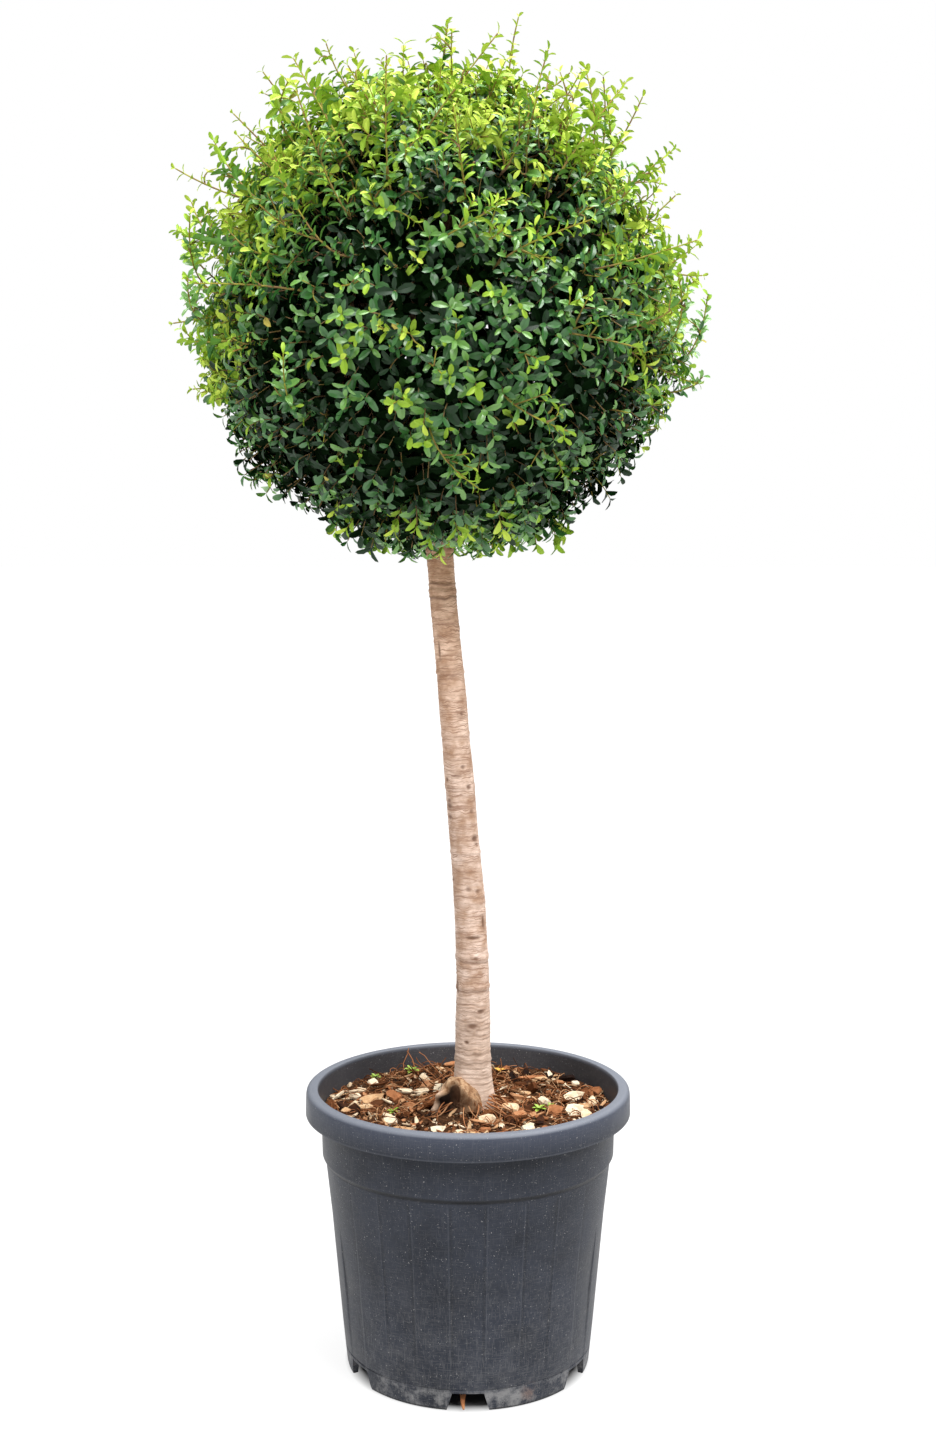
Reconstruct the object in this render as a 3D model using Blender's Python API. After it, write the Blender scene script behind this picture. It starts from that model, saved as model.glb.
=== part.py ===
"""Standard lollipop topiary: a clipped evergreen ball on one clear stem, in its nursery pot.

Metres, +Z up. The origin is the middle of the pot's underside, on the ground, and -Y is the front.
The head is several solids of foliage that close round a bare inside, as a clipped ball does. The
boughs fan out from the top of the trunk, cross that bare inside, and end just inside one mass each.
"""
import math

import bmesh
import bpy
from mathutils import Matrix, Vector, noise

# ---- driving dimensions, in metres and degrees
GAP = 0.0003                    # clearance between pieces that touch

POT_SIDES = 48                  # facets round the pot, a flat one to the front
POT_HEIGHT = 0.3127
WALL = 0.0030                   # moulded plastic
RIM_RADIUS = 0.1800             # outside of the turned-down skirt
SKIRT_BOTTOM = 0.2850
LIP_RADII = (0.1666, 0.1749)    # the flat top of the lip
COLLAR_TOP_RADIUS = 0.1628
COLLAR_RADIUS = 0.1618
COLLAR_BOTTOM = 0.2390
BODY_TOP = 0.2225               # below the collar's chamfer
BODY_TAPER = 0.0900             # gain in radius for each metre of height
BODY_FOOT_RADIUS = 0.1360       # the tapered body, carried down to the ground
RING_HEIGHT = 0.0240            # the foot ring below the seam
RING_STEP = 0.0008
FLOOR_HEIGHT = 0.0205           # underside of the raised floor
WELL_RADII = (0.0300, 0.0340)   # the middle foot: a well that reaches the ground

FLUTES = 12
FLUTE_DEPTHS = (0.0004, 0.0018)  # at the foot and under the collar
NOTCHES = 6
NOTCH_WIDTHS = (0.0454, 0.0338)  # at the ground and at the top
NOTCH_HEIGHT = 0.0200
DRAIN_HOLES = 6
DRAIN_RADIUS = 0.0075
DRAIN_CIRCLE = 0.0850

SOIL_TOP = 0.2880
SOIL_SIDES = 24

TRUNK_SIDES = 14
TRUNK_RINGS = 20
TRUNK_TOP = 0.9620
TRUNK_FOOT = (0.0055, -0.0020)  # where it leaves the soil
TRUNK_LEAN = (-0.0860, 0.0220)  # sideways run for each metre of height, above the bend
BEND = (0.36, 0.60)             # heights between which the lean comes in
TRUNK_RADII = (0.0200, 0.0142)  # foot and top, without the flare
TAPER_POWER = 1.6
FLARE = 0.0085                  # the root flare's extra radius at the soil
FLARE_HEIGHT = 0.0190
ROOT_LOBES = 4
LOBE_SHARE = 0.25               # how much the flare swells and shrinks from lobe to lobe
LOBE_TURN = 0.9                 # radians, to bring a lobe round to the front left
RING_CROWDING = 1.35            # above 1, the rings are closer together near the soil
CLOSING_HEIGHT = 0.0100         # over which the trunk's top closes into the fork
CLOSING_SHARE = 0.45

STUB_RADII = (0.0250, 0.0215, 0.0310)
STUB_OFFSET = (-0.0215, -0.0230, 0.0020)  # from the trunk's foot
HOLLOW_RADII = (0.0110, 0.0170, 0.0200)
HOLLOW_OFFSET = (-0.0250, -0.0450, 0.0050)
STUB_LUMPS = (0.16, 0.022)      # share of the radius, and spacing

HEAD_CENTRE = Vector((-0.0260, 0.0, 1.1680))
HEAD_RADIUS = 0.2580
HEAD_POINTS = 860               # points of the outer skin
BUMP_SIZES = (0.090, 0.040)     # spacing of the coarse and fine bumps
BUMP_HEIGHTS = (0.0110, 0.0060)
TOP_TRIM = 0.0060               # the skin lies that much lower at the top, and higher below
FOOT_GROWTH = 0.0120            # the leaves that hang lower round the trunk
FOOT_SPREAD = 30.0              # degrees from straight down
SWELLINGS = ((38, -0.017, 17.0), (-137, 0.012, 20.0))  # degrees from +X to +Z, rise, spread
SEAM_DIP = 0.0090               # how far the skin sinks where two masses meet
SEAM_WIDTH = 7.0                # degrees

# the long shoots that stand out of the outline: degrees from +X towards +Z, and reach
LONG_SHOOTS = (
    (154, 0.318), (139, 0.294), (129, 0.301), (115, 0.290), (89, 0.286), (75, 0.3085), (61, 0.281),
    (46, 0.312), (25, 0.279), (6, 0.281), (-18, 0.288), (-161, 0.286), (-175, 0.290),
)
SHOOT_DEPTH = 0.12              # how far the long ones stray from the plane of the outline
TUFTS = 46                      # the shorter shoots spread over the rest of the skin
TUFT_LOWEST = -0.72             # the sine of the height down to which they grow
TUFT_CLEARANCE = 14.0           # degrees from any long shoot
TUFT_REACH = (0.014, 0.028)     # above the skin, at the bottom and at the top of the head
TUFT_SHARE = 0.15               # how much of a shoot's rise its neighbours take

BARE_CENTRE = Vector((-0.0300, 0.0020, 1.0650))  # the bare inside, egg-shaped, open below
BARE_RADIUS = 0.1250
BARE_HALF_HEIGHT = 0.1800
BARE_TAPER = 0.65               # how much narrower it gets towards the opening
BARE_NECK = 0.0230              # the opening round the trunk
BARE_STEPS = 12
BARE_SIDES = 18

# the tiers of masses: count, height of the heart above the horizon in degrees, first bearing
TIERS = (("top", 1, 90.0, 0.0), ("upper", 5, 18.0, 38.0), ("lower", 5, -42.0, 70.0))
HEART_DISTANCE = 0.165          # from the head's centre to the heart of a mass
HEART_SCATTER = 8.0             # degrees
BOUGH_BASES = {"top": 0.9560, "upper": 0.9330, "lower": 0.9130}
BOUGH_RADII = (0.0054, 0.0032)
BOUGH_START = 0.6               # how far out in the trunk's top a bough starts, as a share
BOUGH_SPREAD = {"top": 0.0, "upper": -0.036, "lower": 0.016}  # how far a bough bows outwards
BOUGH_SIDES = 6
BOUGH_RINGS = 7
BOUGH_ENTRY = 0.026             # how far a bough goes into its mass

COLOURS = {
    "pot": ((0.060, 0.066, 0.078), 0.55),
    "soil": ((0.140, 0.070, 0.035), 0.95),
    "bark": ((0.520, 0.400, 0.300), 0.80),
    "leaf": ((0.045, 0.130, 0.030), 0.50),
}


# ---- helpers
def finish(name):
    """The material of that name, made once."""
    material = bpy.data.materials.get(name)
    if material is None:
        colour, roughness = COLOURS[name]
        material = bpy.data.materials.new(name)
        material.use_nodes = True
        shader = material.node_tree.nodes["Principled BSDF"]
        shader.inputs["Base Color"].default_value = (*colour, 1.0)
        shader.inputs["Roughness"].default_value = roughness
        shader.inputs["Metallic"].default_value = 0.0
        material.diffuse_color = (*colour, 1.0)
    return material


def make_object(name, bm, material_name):
    """Turn a bmesh into a linked object with outward faces."""
    bmesh.ops.recalc_face_normals(bm, faces=bm.faces)
    mesh = bpy.data.meshes.new(name)
    bm.to_mesh(mesh)
    bm.free()
    mesh.materials.append(finish(material_name))
    obj = bpy.data.objects.new(name, mesh)
    bpy.context.collection.objects.link(obj)
    return obj


def make_cutter(name, bm):
    """A solid that only shapes others."""
    obj = make_object(name, bm, "bark")
    obj.hide_render = True
    obj.display_type = "WIRE"
    return obj


def combine(obj, cutter, operation="DIFFERENCE"):
    """Cut obj by another solid, or keep only what lies inside it."""
    modifier = obj.modifiers.new(operation.lower() + "_" + cutter.name, "BOOLEAN")
    modifier.operation = operation
    modifier.object = cutter
    modifier.solver = "EXACT"


def smooth_step(value):
    value = min(max(value, 0.0), 1.0)
    return value * value * (3.0 - 2.0 * value)


def bearing(degrees, height=0.0):
    """The unit vector at a bearing round +Z and a height above the horizon, both in degrees."""
    turn, rise = math.radians(degrees), math.radians(height)
    return Vector((math.cos(rise) * math.cos(turn), math.cos(rise) * math.sin(turn), math.sin(rise)))


def turned(profile, sides, start=0.0):
    """Spin a section that starts and ends on the axis into a closed bmesh, from a start angle."""
    bm = bmesh.new()
    points = [bm.verts.new((radius, 0.0, height)) for radius, height in profile]
    edges = [bm.edges.new(pair) for pair in zip(points, points[1:])]
    bmesh.ops.spin(bm, geom=points + edges, cent=(0, 0, 0), axis=(0, 0, 1), angle=math.tau,
                   steps=sides, use_merge=True)
    bmesh.ops.remove_doubles(bm, verts=bm.verts, dist=1e-6)
    bmesh.ops.rotate(bm, cent=(0, 0, 0), matrix=Matrix.Rotation(start, 3, "Z"), verts=bm.verts)
    return bm


def limb(path, radius, rings, sides, swell=0.0):
    """A capped tube of round rings along path(t), t from 0 to 1, or a copy with a clearance."""
    bm = bmesh.new()
    side = Vector((0.0, -1.0, 0.0))
    loops = []
    for step in range(rings + 1):
        t = step / rings
        ahead = (path(t + 0.01) - path(t - 0.01)).normalized()
        side = (side - ahead * side.dot(ahead)).normalized()
        turn = Matrix((side, ahead.cross(side), ahead)).transposed().to_4x4()
        beyond = {0: -swell, rings: swell}.get(step, 0.0)
        place = Matrix.Translation(path(t) + ahead * beyond) @ turn
        ring = bmesh.ops.create_circle(bm, cap_ends=step in (0, rings), segments=sides,
                                       radius=radius(t) + swell, matrix=place)["verts"]
        members = set(ring)
        loops.append([edge for edge in bm.edges if members.issuperset(edge.verts)])
    for below, above in zip(loops, loops[1:]):
        bmesh.ops.bridge_loops(bm, edges=below + above)
    bmesh.ops.triangulate(bm, faces=bm.faces, quad_method="FIXED")
    return bm


def ellipsoid(centre, radii, detail):
    bm = bmesh.new()
    bmesh.ops.create_icosphere(bm, subdivisions=detail, radius=1.0)
    bmesh.ops.scale(bm, vec=radii, verts=bm.verts)
    bmesh.ops.translate(bm, vec=centre, verts=bm.verts)
    return bm


def cut_flat(bm, point, outward):
    """Cut a closed bmesh off at a plane, and close it there."""
    geometry = bm.verts[:] + bm.edges[:] + bm.faces[:]
    bmesh.ops.bisect_plane(bm, geom=geometry, plane_co=point, plane_no=outward, clear_outer=True)
    bmesh.ops.holes_fill(bm, edges=[edge for edge in bm.edges if edge.is_boundary])


# ---- the pot
def body_radius(height):
    return BODY_FOOT_RADIUS + BODY_TAPER * height


def inner_profile(clearance=0.0, top=None):
    """The pot's inside from the axis up, or what fills it with a clearance up to the height top."""
    well, shoulder = WELL_RADII
    floor = FLOOR_HEIGHT + WALL
    points = [
        (0.0, WALL + clearance),
        (well - WALL - clearance, WALL + clearance),
        (shoulder - WALL - clearance, floor + clearance),
        (body_radius(floor) - WALL - clearance, floor + clearance),
        (body_radius(BODY_TOP) - WALL - clearance, BODY_TOP),
        (COLLAR_RADIUS - WALL - clearance, COLLAR_BOTTOM),
        (COLLAR_TOP_RADIUS - WALL - clearance, SKIRT_BOTTOM),
    ]
    if top is not None:
        flare = (LIP_RADII[0] - COLLAR_TOP_RADIUS + WALL) / (POT_HEIGHT - SKIRT_BOTTOM)
        edge = COLLAR_TOP_RADIUS - WALL - clearance + flare * (top - SKIRT_BOTTOM)
        points += [(edge, top), (0.0, top)]
    return points


def build_pot():
    """One moulding: foot ring with notches, raised floor, fluted body, collar, turned-down rim."""
    lip_inner, lip_outer = LIP_RADII
    skirt_inner = RIM_RADIUS - WALL
    outside = [
        (0.0, 0.0),
        (WELL_RADII[0], 0.0),
        (WELL_RADII[1], FLOOR_HEIGHT),
        (body_radius(FLOOR_HEIGHT) - 3.0 * WALL, FLOOR_HEIGHT),
        (body_radius(0.0) - 2.3 * WALL, 0.0),
        (body_radius(0.0) - RING_STEP, 0.0),
        (body_radius(RING_HEIGHT) - RING_STEP, RING_HEIGHT - RING_STEP),
        (body_radius(RING_HEIGHT), RING_HEIGHT),
        (body_radius(BODY_TOP), BODY_TOP),
        (COLLAR_RADIUS, COLLAR_BOTTOM),
        (COLLAR_TOP_RADIUS, SKIRT_BOTTOM - WALL),
        (lip_inner + 0.8 * WALL, POT_HEIGHT - WALL),
        (skirt_inner - 0.2 * WALL, POT_HEIGHT - WALL),
        (skirt_inner, SKIRT_BOTTOM),
        (RIM_RADIUS, SKIRT_BOTTOM),
        (RIM_RADIUS, POT_HEIGHT - 2.7 * WALL),
        (RIM_RADIUS - 0.5 * WALL, POT_HEIGHT - 0.7 * WALL),
        (lip_outer, POT_HEIGHT),
        (lip_inner + 0.7 * WALL, POT_HEIGHT),
        (lip_inner, POT_HEIGHT - 0.5 * WALL),
    ]
    bm = turned(outside + inner_profile()[::-1], POT_SIDES, math.pi / POT_SIDES)
    depth_at = {RING_HEIGHT: FLUTE_DEPTHS[0], BODY_TOP: FLUTE_DEPTHS[1]}
    for height, depth in depth_at.items():
        for vert in bm.verts:
            radius = math.hypot(vert.co.x, vert.co.y)
            on_skin = abs(vert.co.z - height) < 1e-5 and radius > body_radius(height) - 0.5 * WALL
            if on_skin and in_flute(vert.co):
                vert.co.xy *= (radius - depth) / radius
    pot = make_object("pot", bm, "pot")
    for index in range(NOTCHES):
        combine(pot, notch_cutter(index))
    for index in range(DRAIN_HOLES):
        combine(pot, drain_cutter(index))
    return pot


def in_flute(point):
    """Whether a point lies within a flute; the first flute faces the front."""
    pitch = 360.0 / FLUTES
    turn = math.degrees(math.atan2(point.x, -point.y)) % pitch
    return min(turn, pitch - turn) < pitch / 4.0


def notch_cutter(index):
    """A wedge that is wide at the ground, out through the foot ring; the first is at the front."""
    bm = bmesh.new()
    bmesh.ops.create_cube(bm, size=1.0)
    for vert in bm.verts:
        low = vert.co.z < 0.0
        width = NOTCH_WIDTHS[0] if low else NOTCH_WIDTHS[1]
        height = -0.2 * NOTCH_HEIGHT if low else NOTCH_HEIGHT
        if low:
            width += 0.2 * (NOTCH_WIDTHS[0] - NOTCH_WIDTHS[1])
        reach = body_radius(0.0) + (10.0 if vert.co.y < 0.0 else -10.0) * WALL
        vert.co = Vector((math.copysign(width / 2.0, vert.co.x), -reach, height))
    turn = Matrix.Rotation(math.tau * index / NOTCHES, 3, "Z")
    bmesh.ops.rotate(bm, cent=(0, 0, 0), matrix=turn, verts=bm.verts)
    return make_cutter(f"notch_{index + 1}_cutter", bm)


def drain_cutter(index):
    bm = bmesh.new()
    bmesh.ops.create_cone(bm, cap_ends=True, segments=12, radius1=DRAIN_RADIUS,
                          radius2=DRAIN_RADIUS, depth=4.0 * WALL)
    centre = bearing(360.0 * (index + 0.5) / DRAIN_HOLES) * DRAIN_CIRCLE
    centre.z = FLOOR_HEIGHT + WALL / 2.0
    bmesh.ops.translate(bm, vec=centre, verts=bm.verts)
    return make_cutter(f"drain_{index + 1}_cutter", bm)


def build_soil():
    """The potting mix, as one block that fills the pot to just below the lip."""
    profile = inner_profile(GAP, SOIL_TOP)
    return make_object("soil", turned(profile, SOIL_SIDES, math.pi / POT_SIDES), "soil")


# ---- the trunk
def trunk_point(height):
    """The trunk's axis: upright from the soil, then bent over to an even lean."""
    low, high = BEND
    share = min(max((height - low) / (high - low), 0.0), 1.0)
    run = (high - low) * (share ** 3 - share ** 4 / 2.0) + max(height - high, 0.0)
    return Vector((TRUNK_FOOT[0] + TRUNK_LEAN[0] * run, TRUNK_FOOT[1] + TRUNK_LEAN[1] * run, height))


def trunk_radius(height):
    """The true taper, without the root flare, closing over the last centimetre."""
    share = (height - SOIL_TOP) / (TRUNK_TOP - SOIL_TOP)
    foot, top = TRUNK_RADII
    radius = top + (foot - top) * max(1.0 - share, 0.0) ** TAPER_POWER
    closing = min(max((TRUNK_TOP - height) / CLOSING_HEIGHT, 0.0), 1.0)
    return radius * (1.0 - CLOSING_SHARE * (1.0 - math.sqrt(closing)))


def flare_roots(bm):
    """Push the foot of the trunk out into root lobes."""
    for vert in bm.verts:
        axis = trunk_point(vert.co.z)
        out = Vector((vert.co.x - axis.x, vert.co.y - axis.y, 0.0))
        if out.length > 0.001:
            turn = math.atan2(out.y, out.x)
            lobes = 1.0 + LOBE_SHARE * math.cos(ROOT_LOBES * turn + LOBE_TURN)
            rise = max(vert.co.z - SOIL_TOP, 0.0) / FLARE_HEIGHT
            vert.co += out.normalized() * FLARE * lobes * math.exp(-rise)


def trunk_mesh(swell=0.0):
    """The trunk from its flat cut at the soil to its fork, or a copy with a clearance round it."""
    foot = SOIL_TOP + GAP

    def spaced(t):
        return foot + (TRUNK_TOP - foot) * math.copysign(abs(t) ** RING_CROWDING, t)

    def path(t):
        return trunk_point(spaced(t))

    def radius(t):
        return trunk_radius(spaced(t))

    bm = limb(path, radius, TRUNK_RINGS, TRUNK_SIDES, swell)
    for vert in sorted(bm.verts, key=lambda vert: vert.co.z)[:TRUNK_SIDES]:
        vert.co.z = foot - swell
    flare_roots(bm)
    return bm


def build_trunk():
    return make_object("trunk", trunk_mesh(), "bark")


def build_old_stub(clearance):
    """The stump of a side stem cut long ago at the trunk's foot, hollow towards the front left."""
    foot = trunk_point(SOIL_TOP)
    bm = ellipsoid(foot + Vector(STUB_OFFSET), STUB_RADII, 3)
    for vert in bm.verts:
        vert.co += (vert.co - foot) * STUB_LUMPS[0] * noise.noise(vert.co / STUB_LUMPS[1])
    cut_flat(bm, (0.0, 0.0, SOIL_TOP + GAP), (0.0, 0.0, -1.0))
    stub = make_object("old_stub", bm, "bark")
    hollow = make_cutter("hollow_cutter", ellipsoid(foot + Vector(HOLLOW_OFFSET), HOLLOW_RADII, 2))
    combine(stub, hollow)
    combine(stub, clearance)
    return stub


# ---- the head
def masses():
    """Each mass of foliage: its tier, its number there, and the direction of its heart."""
    found = []
    for tier, count, height, first in TIERS:
        for index in range(count):
            turn = first + 360.0 * index / count
            scatter = Vector((turn * 0.37, height * 0.21, index * 1.7))
            turn += HEART_SCATTER * noise.noise(scatter) / max(math.cos(math.radians(height)), 0.3)
            rise = height + (HEART_SCATTER * noise.noise(scatter * 1.9) if count > 1 else 0.0)
            found.append((tier, index + 1, bearing(turn, rise)))
    return found


def skin_radius(way, hearts):
    """The clipped skin's distance from the head's centre in one direction."""
    radius = HEAD_RADIUS - TOP_TRIM * way.z
    below = math.degrees(way.angle(Vector((0.0, 0.0, -1.0))))
    radius += FOOT_GROWTH * math.exp(-(below / FOOT_SPREAD) ** 2)
    for turn, rise, spread in SWELLINGS:
        angle = math.radians(turn)
        away = math.degrees(way.angle(Vector((math.cos(angle), 0.0, math.sin(angle)))))
        radius += rise * math.exp(-(away / spread) ** 2)
    for size, height in zip(BUMP_SIZES, BUMP_HEIGHTS):
        radius += height * noise.noise(way * (HEAD_RADIUS / size))
    nearest = sorted(math.degrees(way.angle(heart)) for heart in hearts)
    radius -= SEAM_DIP * math.exp(-((nearest[1] - nearest[0]) / SEAM_WIDTH) ** 2)
    return radius


def shoots():
    """Direction and reach of each shoot that stands out of the skin."""
    found = []
    for turn, reach in LONG_SHOOTS:
        angle = math.radians(turn)
        depth = SHOOT_DEPTH * math.sin(2.3 * angle)
        found.append((Vector((math.cos(angle), depth, math.sin(angle))).normalized(), reach))
    golden = math.pi * (3.0 - math.sqrt(5.0))
    for index in range(TUFTS):
        height = 1.0 - (1.0 - TUFT_LOWEST) * (index + 0.5) / TUFTS
        ring = math.sqrt(1.0 - height * height)
        way = Vector((ring * math.cos(golden * index), ring * math.sin(golden * index), height))
        if min(way.angle(other) for other, _ in found[:len(LONG_SHOOTS)]) > math.radians(TUFT_CLEARANCE):
            low, high = TUFT_REACH
            rise = low + (high - low) * smooth_step(0.5 + 0.5 * height)
            reach = HEAD_RADIUS + rise * (0.75 + 0.5 * noise.noise(way * 7.0))
            found.append((way, reach))
    return found


def head_skin(hearts):
    """The whole head as one closed skin of scattered points, with its shoots pulled out."""
    bm = bmesh.new()
    golden = math.pi * (3.0 - math.sqrt(5.0))
    for index in range(HEAD_POINTS):
        height = 1.0 - 2.0 * (index + 0.5) / HEAD_POINTS
        ring = math.sqrt(1.0 - height * height)
        bm.verts.new((ring * math.cos(golden * index), ring * math.sin(golden * index), height))
    bmesh.ops.convex_hull(bm, input=bm.verts)
    ways = {vert: vert.co.normalized() for vert in bm.verts}
    radii = {vert: skin_radius(way, hearts) for vert, way in ways.items()}
    for way, reach in shoots():
        tip = max(ways, key=lambda vert: ways[vert].dot(way))
        for edge in tip.link_edges:
            beside = edge.other_vert(tip)
            radii[beside] += TUFT_SHARE * max(reach - radii[beside], 0.0)
        ways[tip] = way
        radii[tip] = max(reach, radii[tip])
    for vert, way in ways.items():
        vert.co = HEAD_CENTRE + way * radii[vert]
    return bm


def cell(index, hearts):
    """The wedge of space nearer to one heart than to any other, less half the gap."""
    bm = bmesh.new()
    bmesh.ops.create_cube(bm, size=3.0 * HEAD_RADIUS, matrix=Matrix.Translation(HEAD_CENTRE))
    own = HEAD_CENTRE + hearts[index] * HEART_DISTANCE
    for other, heart in enumerate(hearts):
        if other != index:
            far = HEAD_CENTRE + heart * HEART_DISTANCE
            outward = (far - own).normalized()
            cut_flat(bm, (own + far) / 2.0 - outward * GAP / 2.0, outward)
    return bm


def bare_radius(height):
    """How wide the head's bare inside is at a height."""
    share = min(max((height - BARE_CENTRE.z) / BARE_HALF_HEIGHT, -1.0), 1.0)
    egg = BARE_RADIUS * math.sqrt(1.0 - share * share) * (1.0 + BARE_TAPER * min(share, 0.0))
    return max(egg, BARE_NECK) if share < 0.0 else egg


def bare_cutter():
    """The bare inside and its opening, as a turned solid."""
    low = HEAD_CENTRE.z - 1.2 * HEAD_RADIUS
    profile = [(0.0, low), (BARE_NECK, low)]
    for step in range(1, BARE_STEPS + 1):
        height = BARE_CENTRE.z - BARE_HALF_HEIGHT * math.cos(math.pi * step / BARE_STEPS)
        profile.append((bare_radius(height), height))
    bm = turned(profile, BARE_SIDES)
    bmesh.ops.translate(bm, vec=(BARE_CENTRE.x, BARE_CENTRE.y, 0.0), verts=bm.verts)
    return make_cutter("bare_inside_cutter", bm)


def bough_path(tier, heart):
    """A bough's axis from the trunk's own axis out to its end, as a function of 0 to 1."""
    out = Vector((heart.x, heart.y, 0.0))
    out = out.normalized() if tier != "top" else Vector((0.0, 0.0, 0.0))
    start = trunk_point(BOUGH_BASES[tier]) + out * BOUGH_START * TRUNK_RADII[1]
    goal = HEAD_CENTRE + heart * HEART_DISTANCE
    middle = (start + goal) / 2.0 + out * BOUGH_SPREAD[tier]

    def curve(t):
        return start * (1.0 - t) ** 2 + middle * 2.0 * t * (1.0 - t) + goal * t * t

    reach = 0.3
    while (curve(reach) - BARE_CENTRE).xy.length < bare_radius(curve(reach).z):
        reach += 0.01
    reach += BOUGH_ENTRY / (goal - start).length
    return lambda t: curve(t * reach)


def bough_radius(t):
    base, tip = BOUGH_RADII
    return base + (tip - base) * smooth_step(t)


def build_head(clearance):
    """The boughs, and the mass of foliage that each of them carries."""
    found = masses()
    hearts = [heart for _, _, heart in found]
    skin = head_skin(hearts)
    bare = bare_cutter()
    for index, (tier, number, heart) in enumerate(found):
        label = tier if tier == "top" else f"{tier}_{number}"
        path = bough_path(tier, heart)
        bough = make_object(f"bough_{label}", limb(path, bough_radius, BOUGH_RINGS, BOUGH_SIDES),
                            "bark")
        combine(bough, clearance)
        socket = limb(path, bough_radius, BOUGH_RINGS, BOUGH_SIDES, GAP)
        mass = make_object(f"leaf_mass_{label}", skin.copy(), "leaf")
        combine(mass, make_cutter(f"cell_{label}_cutter", cell(index, hearts)), "INTERSECT")
        combine(mass, bare)
        combine(mass, make_cutter(f"socket_{label}_cutter", socket))
    skin.free()


def main():
    for obj in list(bpy.data.objects):
        bpy.data.objects.remove(obj)
    build_pot()
    build_soil()
    build_trunk()
    clearance = make_cutter("trunk_clearance_cutter", trunk_mesh(GAP))
    build_old_stub(clearance)
    build_head(clearance)


main()
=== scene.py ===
"""Standard lollipop topiary in its nursery pot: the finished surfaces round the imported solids.

The file is an add-on that is run as a script. Each operator builds one piece, or one group of like
pieces, from the sizes and colours of a property group. Metres, +Z up, and -Y is the front.
"""
import math
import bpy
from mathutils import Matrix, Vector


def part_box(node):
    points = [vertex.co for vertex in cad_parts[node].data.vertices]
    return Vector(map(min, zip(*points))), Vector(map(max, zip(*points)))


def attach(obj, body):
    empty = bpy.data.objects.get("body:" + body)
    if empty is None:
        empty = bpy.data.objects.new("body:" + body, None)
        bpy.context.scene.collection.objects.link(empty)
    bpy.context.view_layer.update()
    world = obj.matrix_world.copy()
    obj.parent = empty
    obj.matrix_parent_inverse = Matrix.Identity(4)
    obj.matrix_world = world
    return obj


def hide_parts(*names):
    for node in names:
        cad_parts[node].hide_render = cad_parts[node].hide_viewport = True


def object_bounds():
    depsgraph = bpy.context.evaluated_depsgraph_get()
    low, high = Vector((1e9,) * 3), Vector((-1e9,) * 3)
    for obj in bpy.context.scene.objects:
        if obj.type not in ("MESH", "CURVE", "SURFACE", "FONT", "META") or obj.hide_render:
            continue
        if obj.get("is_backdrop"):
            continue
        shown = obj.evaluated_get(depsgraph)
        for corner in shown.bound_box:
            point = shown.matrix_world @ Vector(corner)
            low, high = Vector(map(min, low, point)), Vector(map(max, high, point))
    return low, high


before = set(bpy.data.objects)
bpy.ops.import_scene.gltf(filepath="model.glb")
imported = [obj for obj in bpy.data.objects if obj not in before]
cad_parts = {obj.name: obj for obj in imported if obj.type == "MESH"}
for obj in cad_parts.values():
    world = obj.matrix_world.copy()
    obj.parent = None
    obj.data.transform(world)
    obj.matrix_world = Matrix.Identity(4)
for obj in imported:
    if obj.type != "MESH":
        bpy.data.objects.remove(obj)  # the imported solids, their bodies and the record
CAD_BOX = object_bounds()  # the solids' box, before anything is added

from types import SimpleNamespace

import bpy
import numpy as np
from bpy.props import FloatProperty, FloatVectorProperty, IntProperty, PointerProperty
from mathutils import Vector, noise
from numpy.linalg import norm
from numpy.random import default_rng

bl_info = {
    "name": "Lollipop Topiary",
    "version": (1, 0, 0),
    "blender": (4, 5, 0),
    "location": "3D View > Sidebar > Topiary",
    "description": "Builds a clipped evergreen ball on a clear stem, in its nursery pot",
    "category": "Add Mesh",
}

UP = np.array((0.0, 0.0, 1.0))
TAU = math.tau
MM = 0.001
GOLDEN = math.pi * (3 - math.sqrt(5.0))

# ---- the shape of the stem and the head, as in the solids
SOIL_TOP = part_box("soil")[1].z
TRUNK_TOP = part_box("trunk")[1].z
TRUNK_FOOT = (0.0055, -0.002)
TRUNK_LEAN = (-0.086, 0.022)  # sideways run for each metre of height, above the bend
BEND = (0.36, 0.6)  # heights between which the lean comes in
TRUNK_RADII = (0.02, 0.0142)  # foot and top, without the flare
TAPER_POWER = 1.6
FLARE = 0.0085
FLARE_HEIGHT = 0.019
HEAD_CENTRE = np.array((-0.026, 0.0, 1.168))
MASSES = sorted(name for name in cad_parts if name.startswith("leaf_mass_"))
BOUGHS = sorted(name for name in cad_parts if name.startswith("bough_"))


# ---- node trees
def live(sockets, name=None):
    """The first socket in use that has the name, or the first in use."""
    for socket in sockets:
        if socket.enabled and name in (None, socket.name):
            return socket
    raise KeyError(f"{name} is not among {[socket.name for socket in sockets]}")


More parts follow.
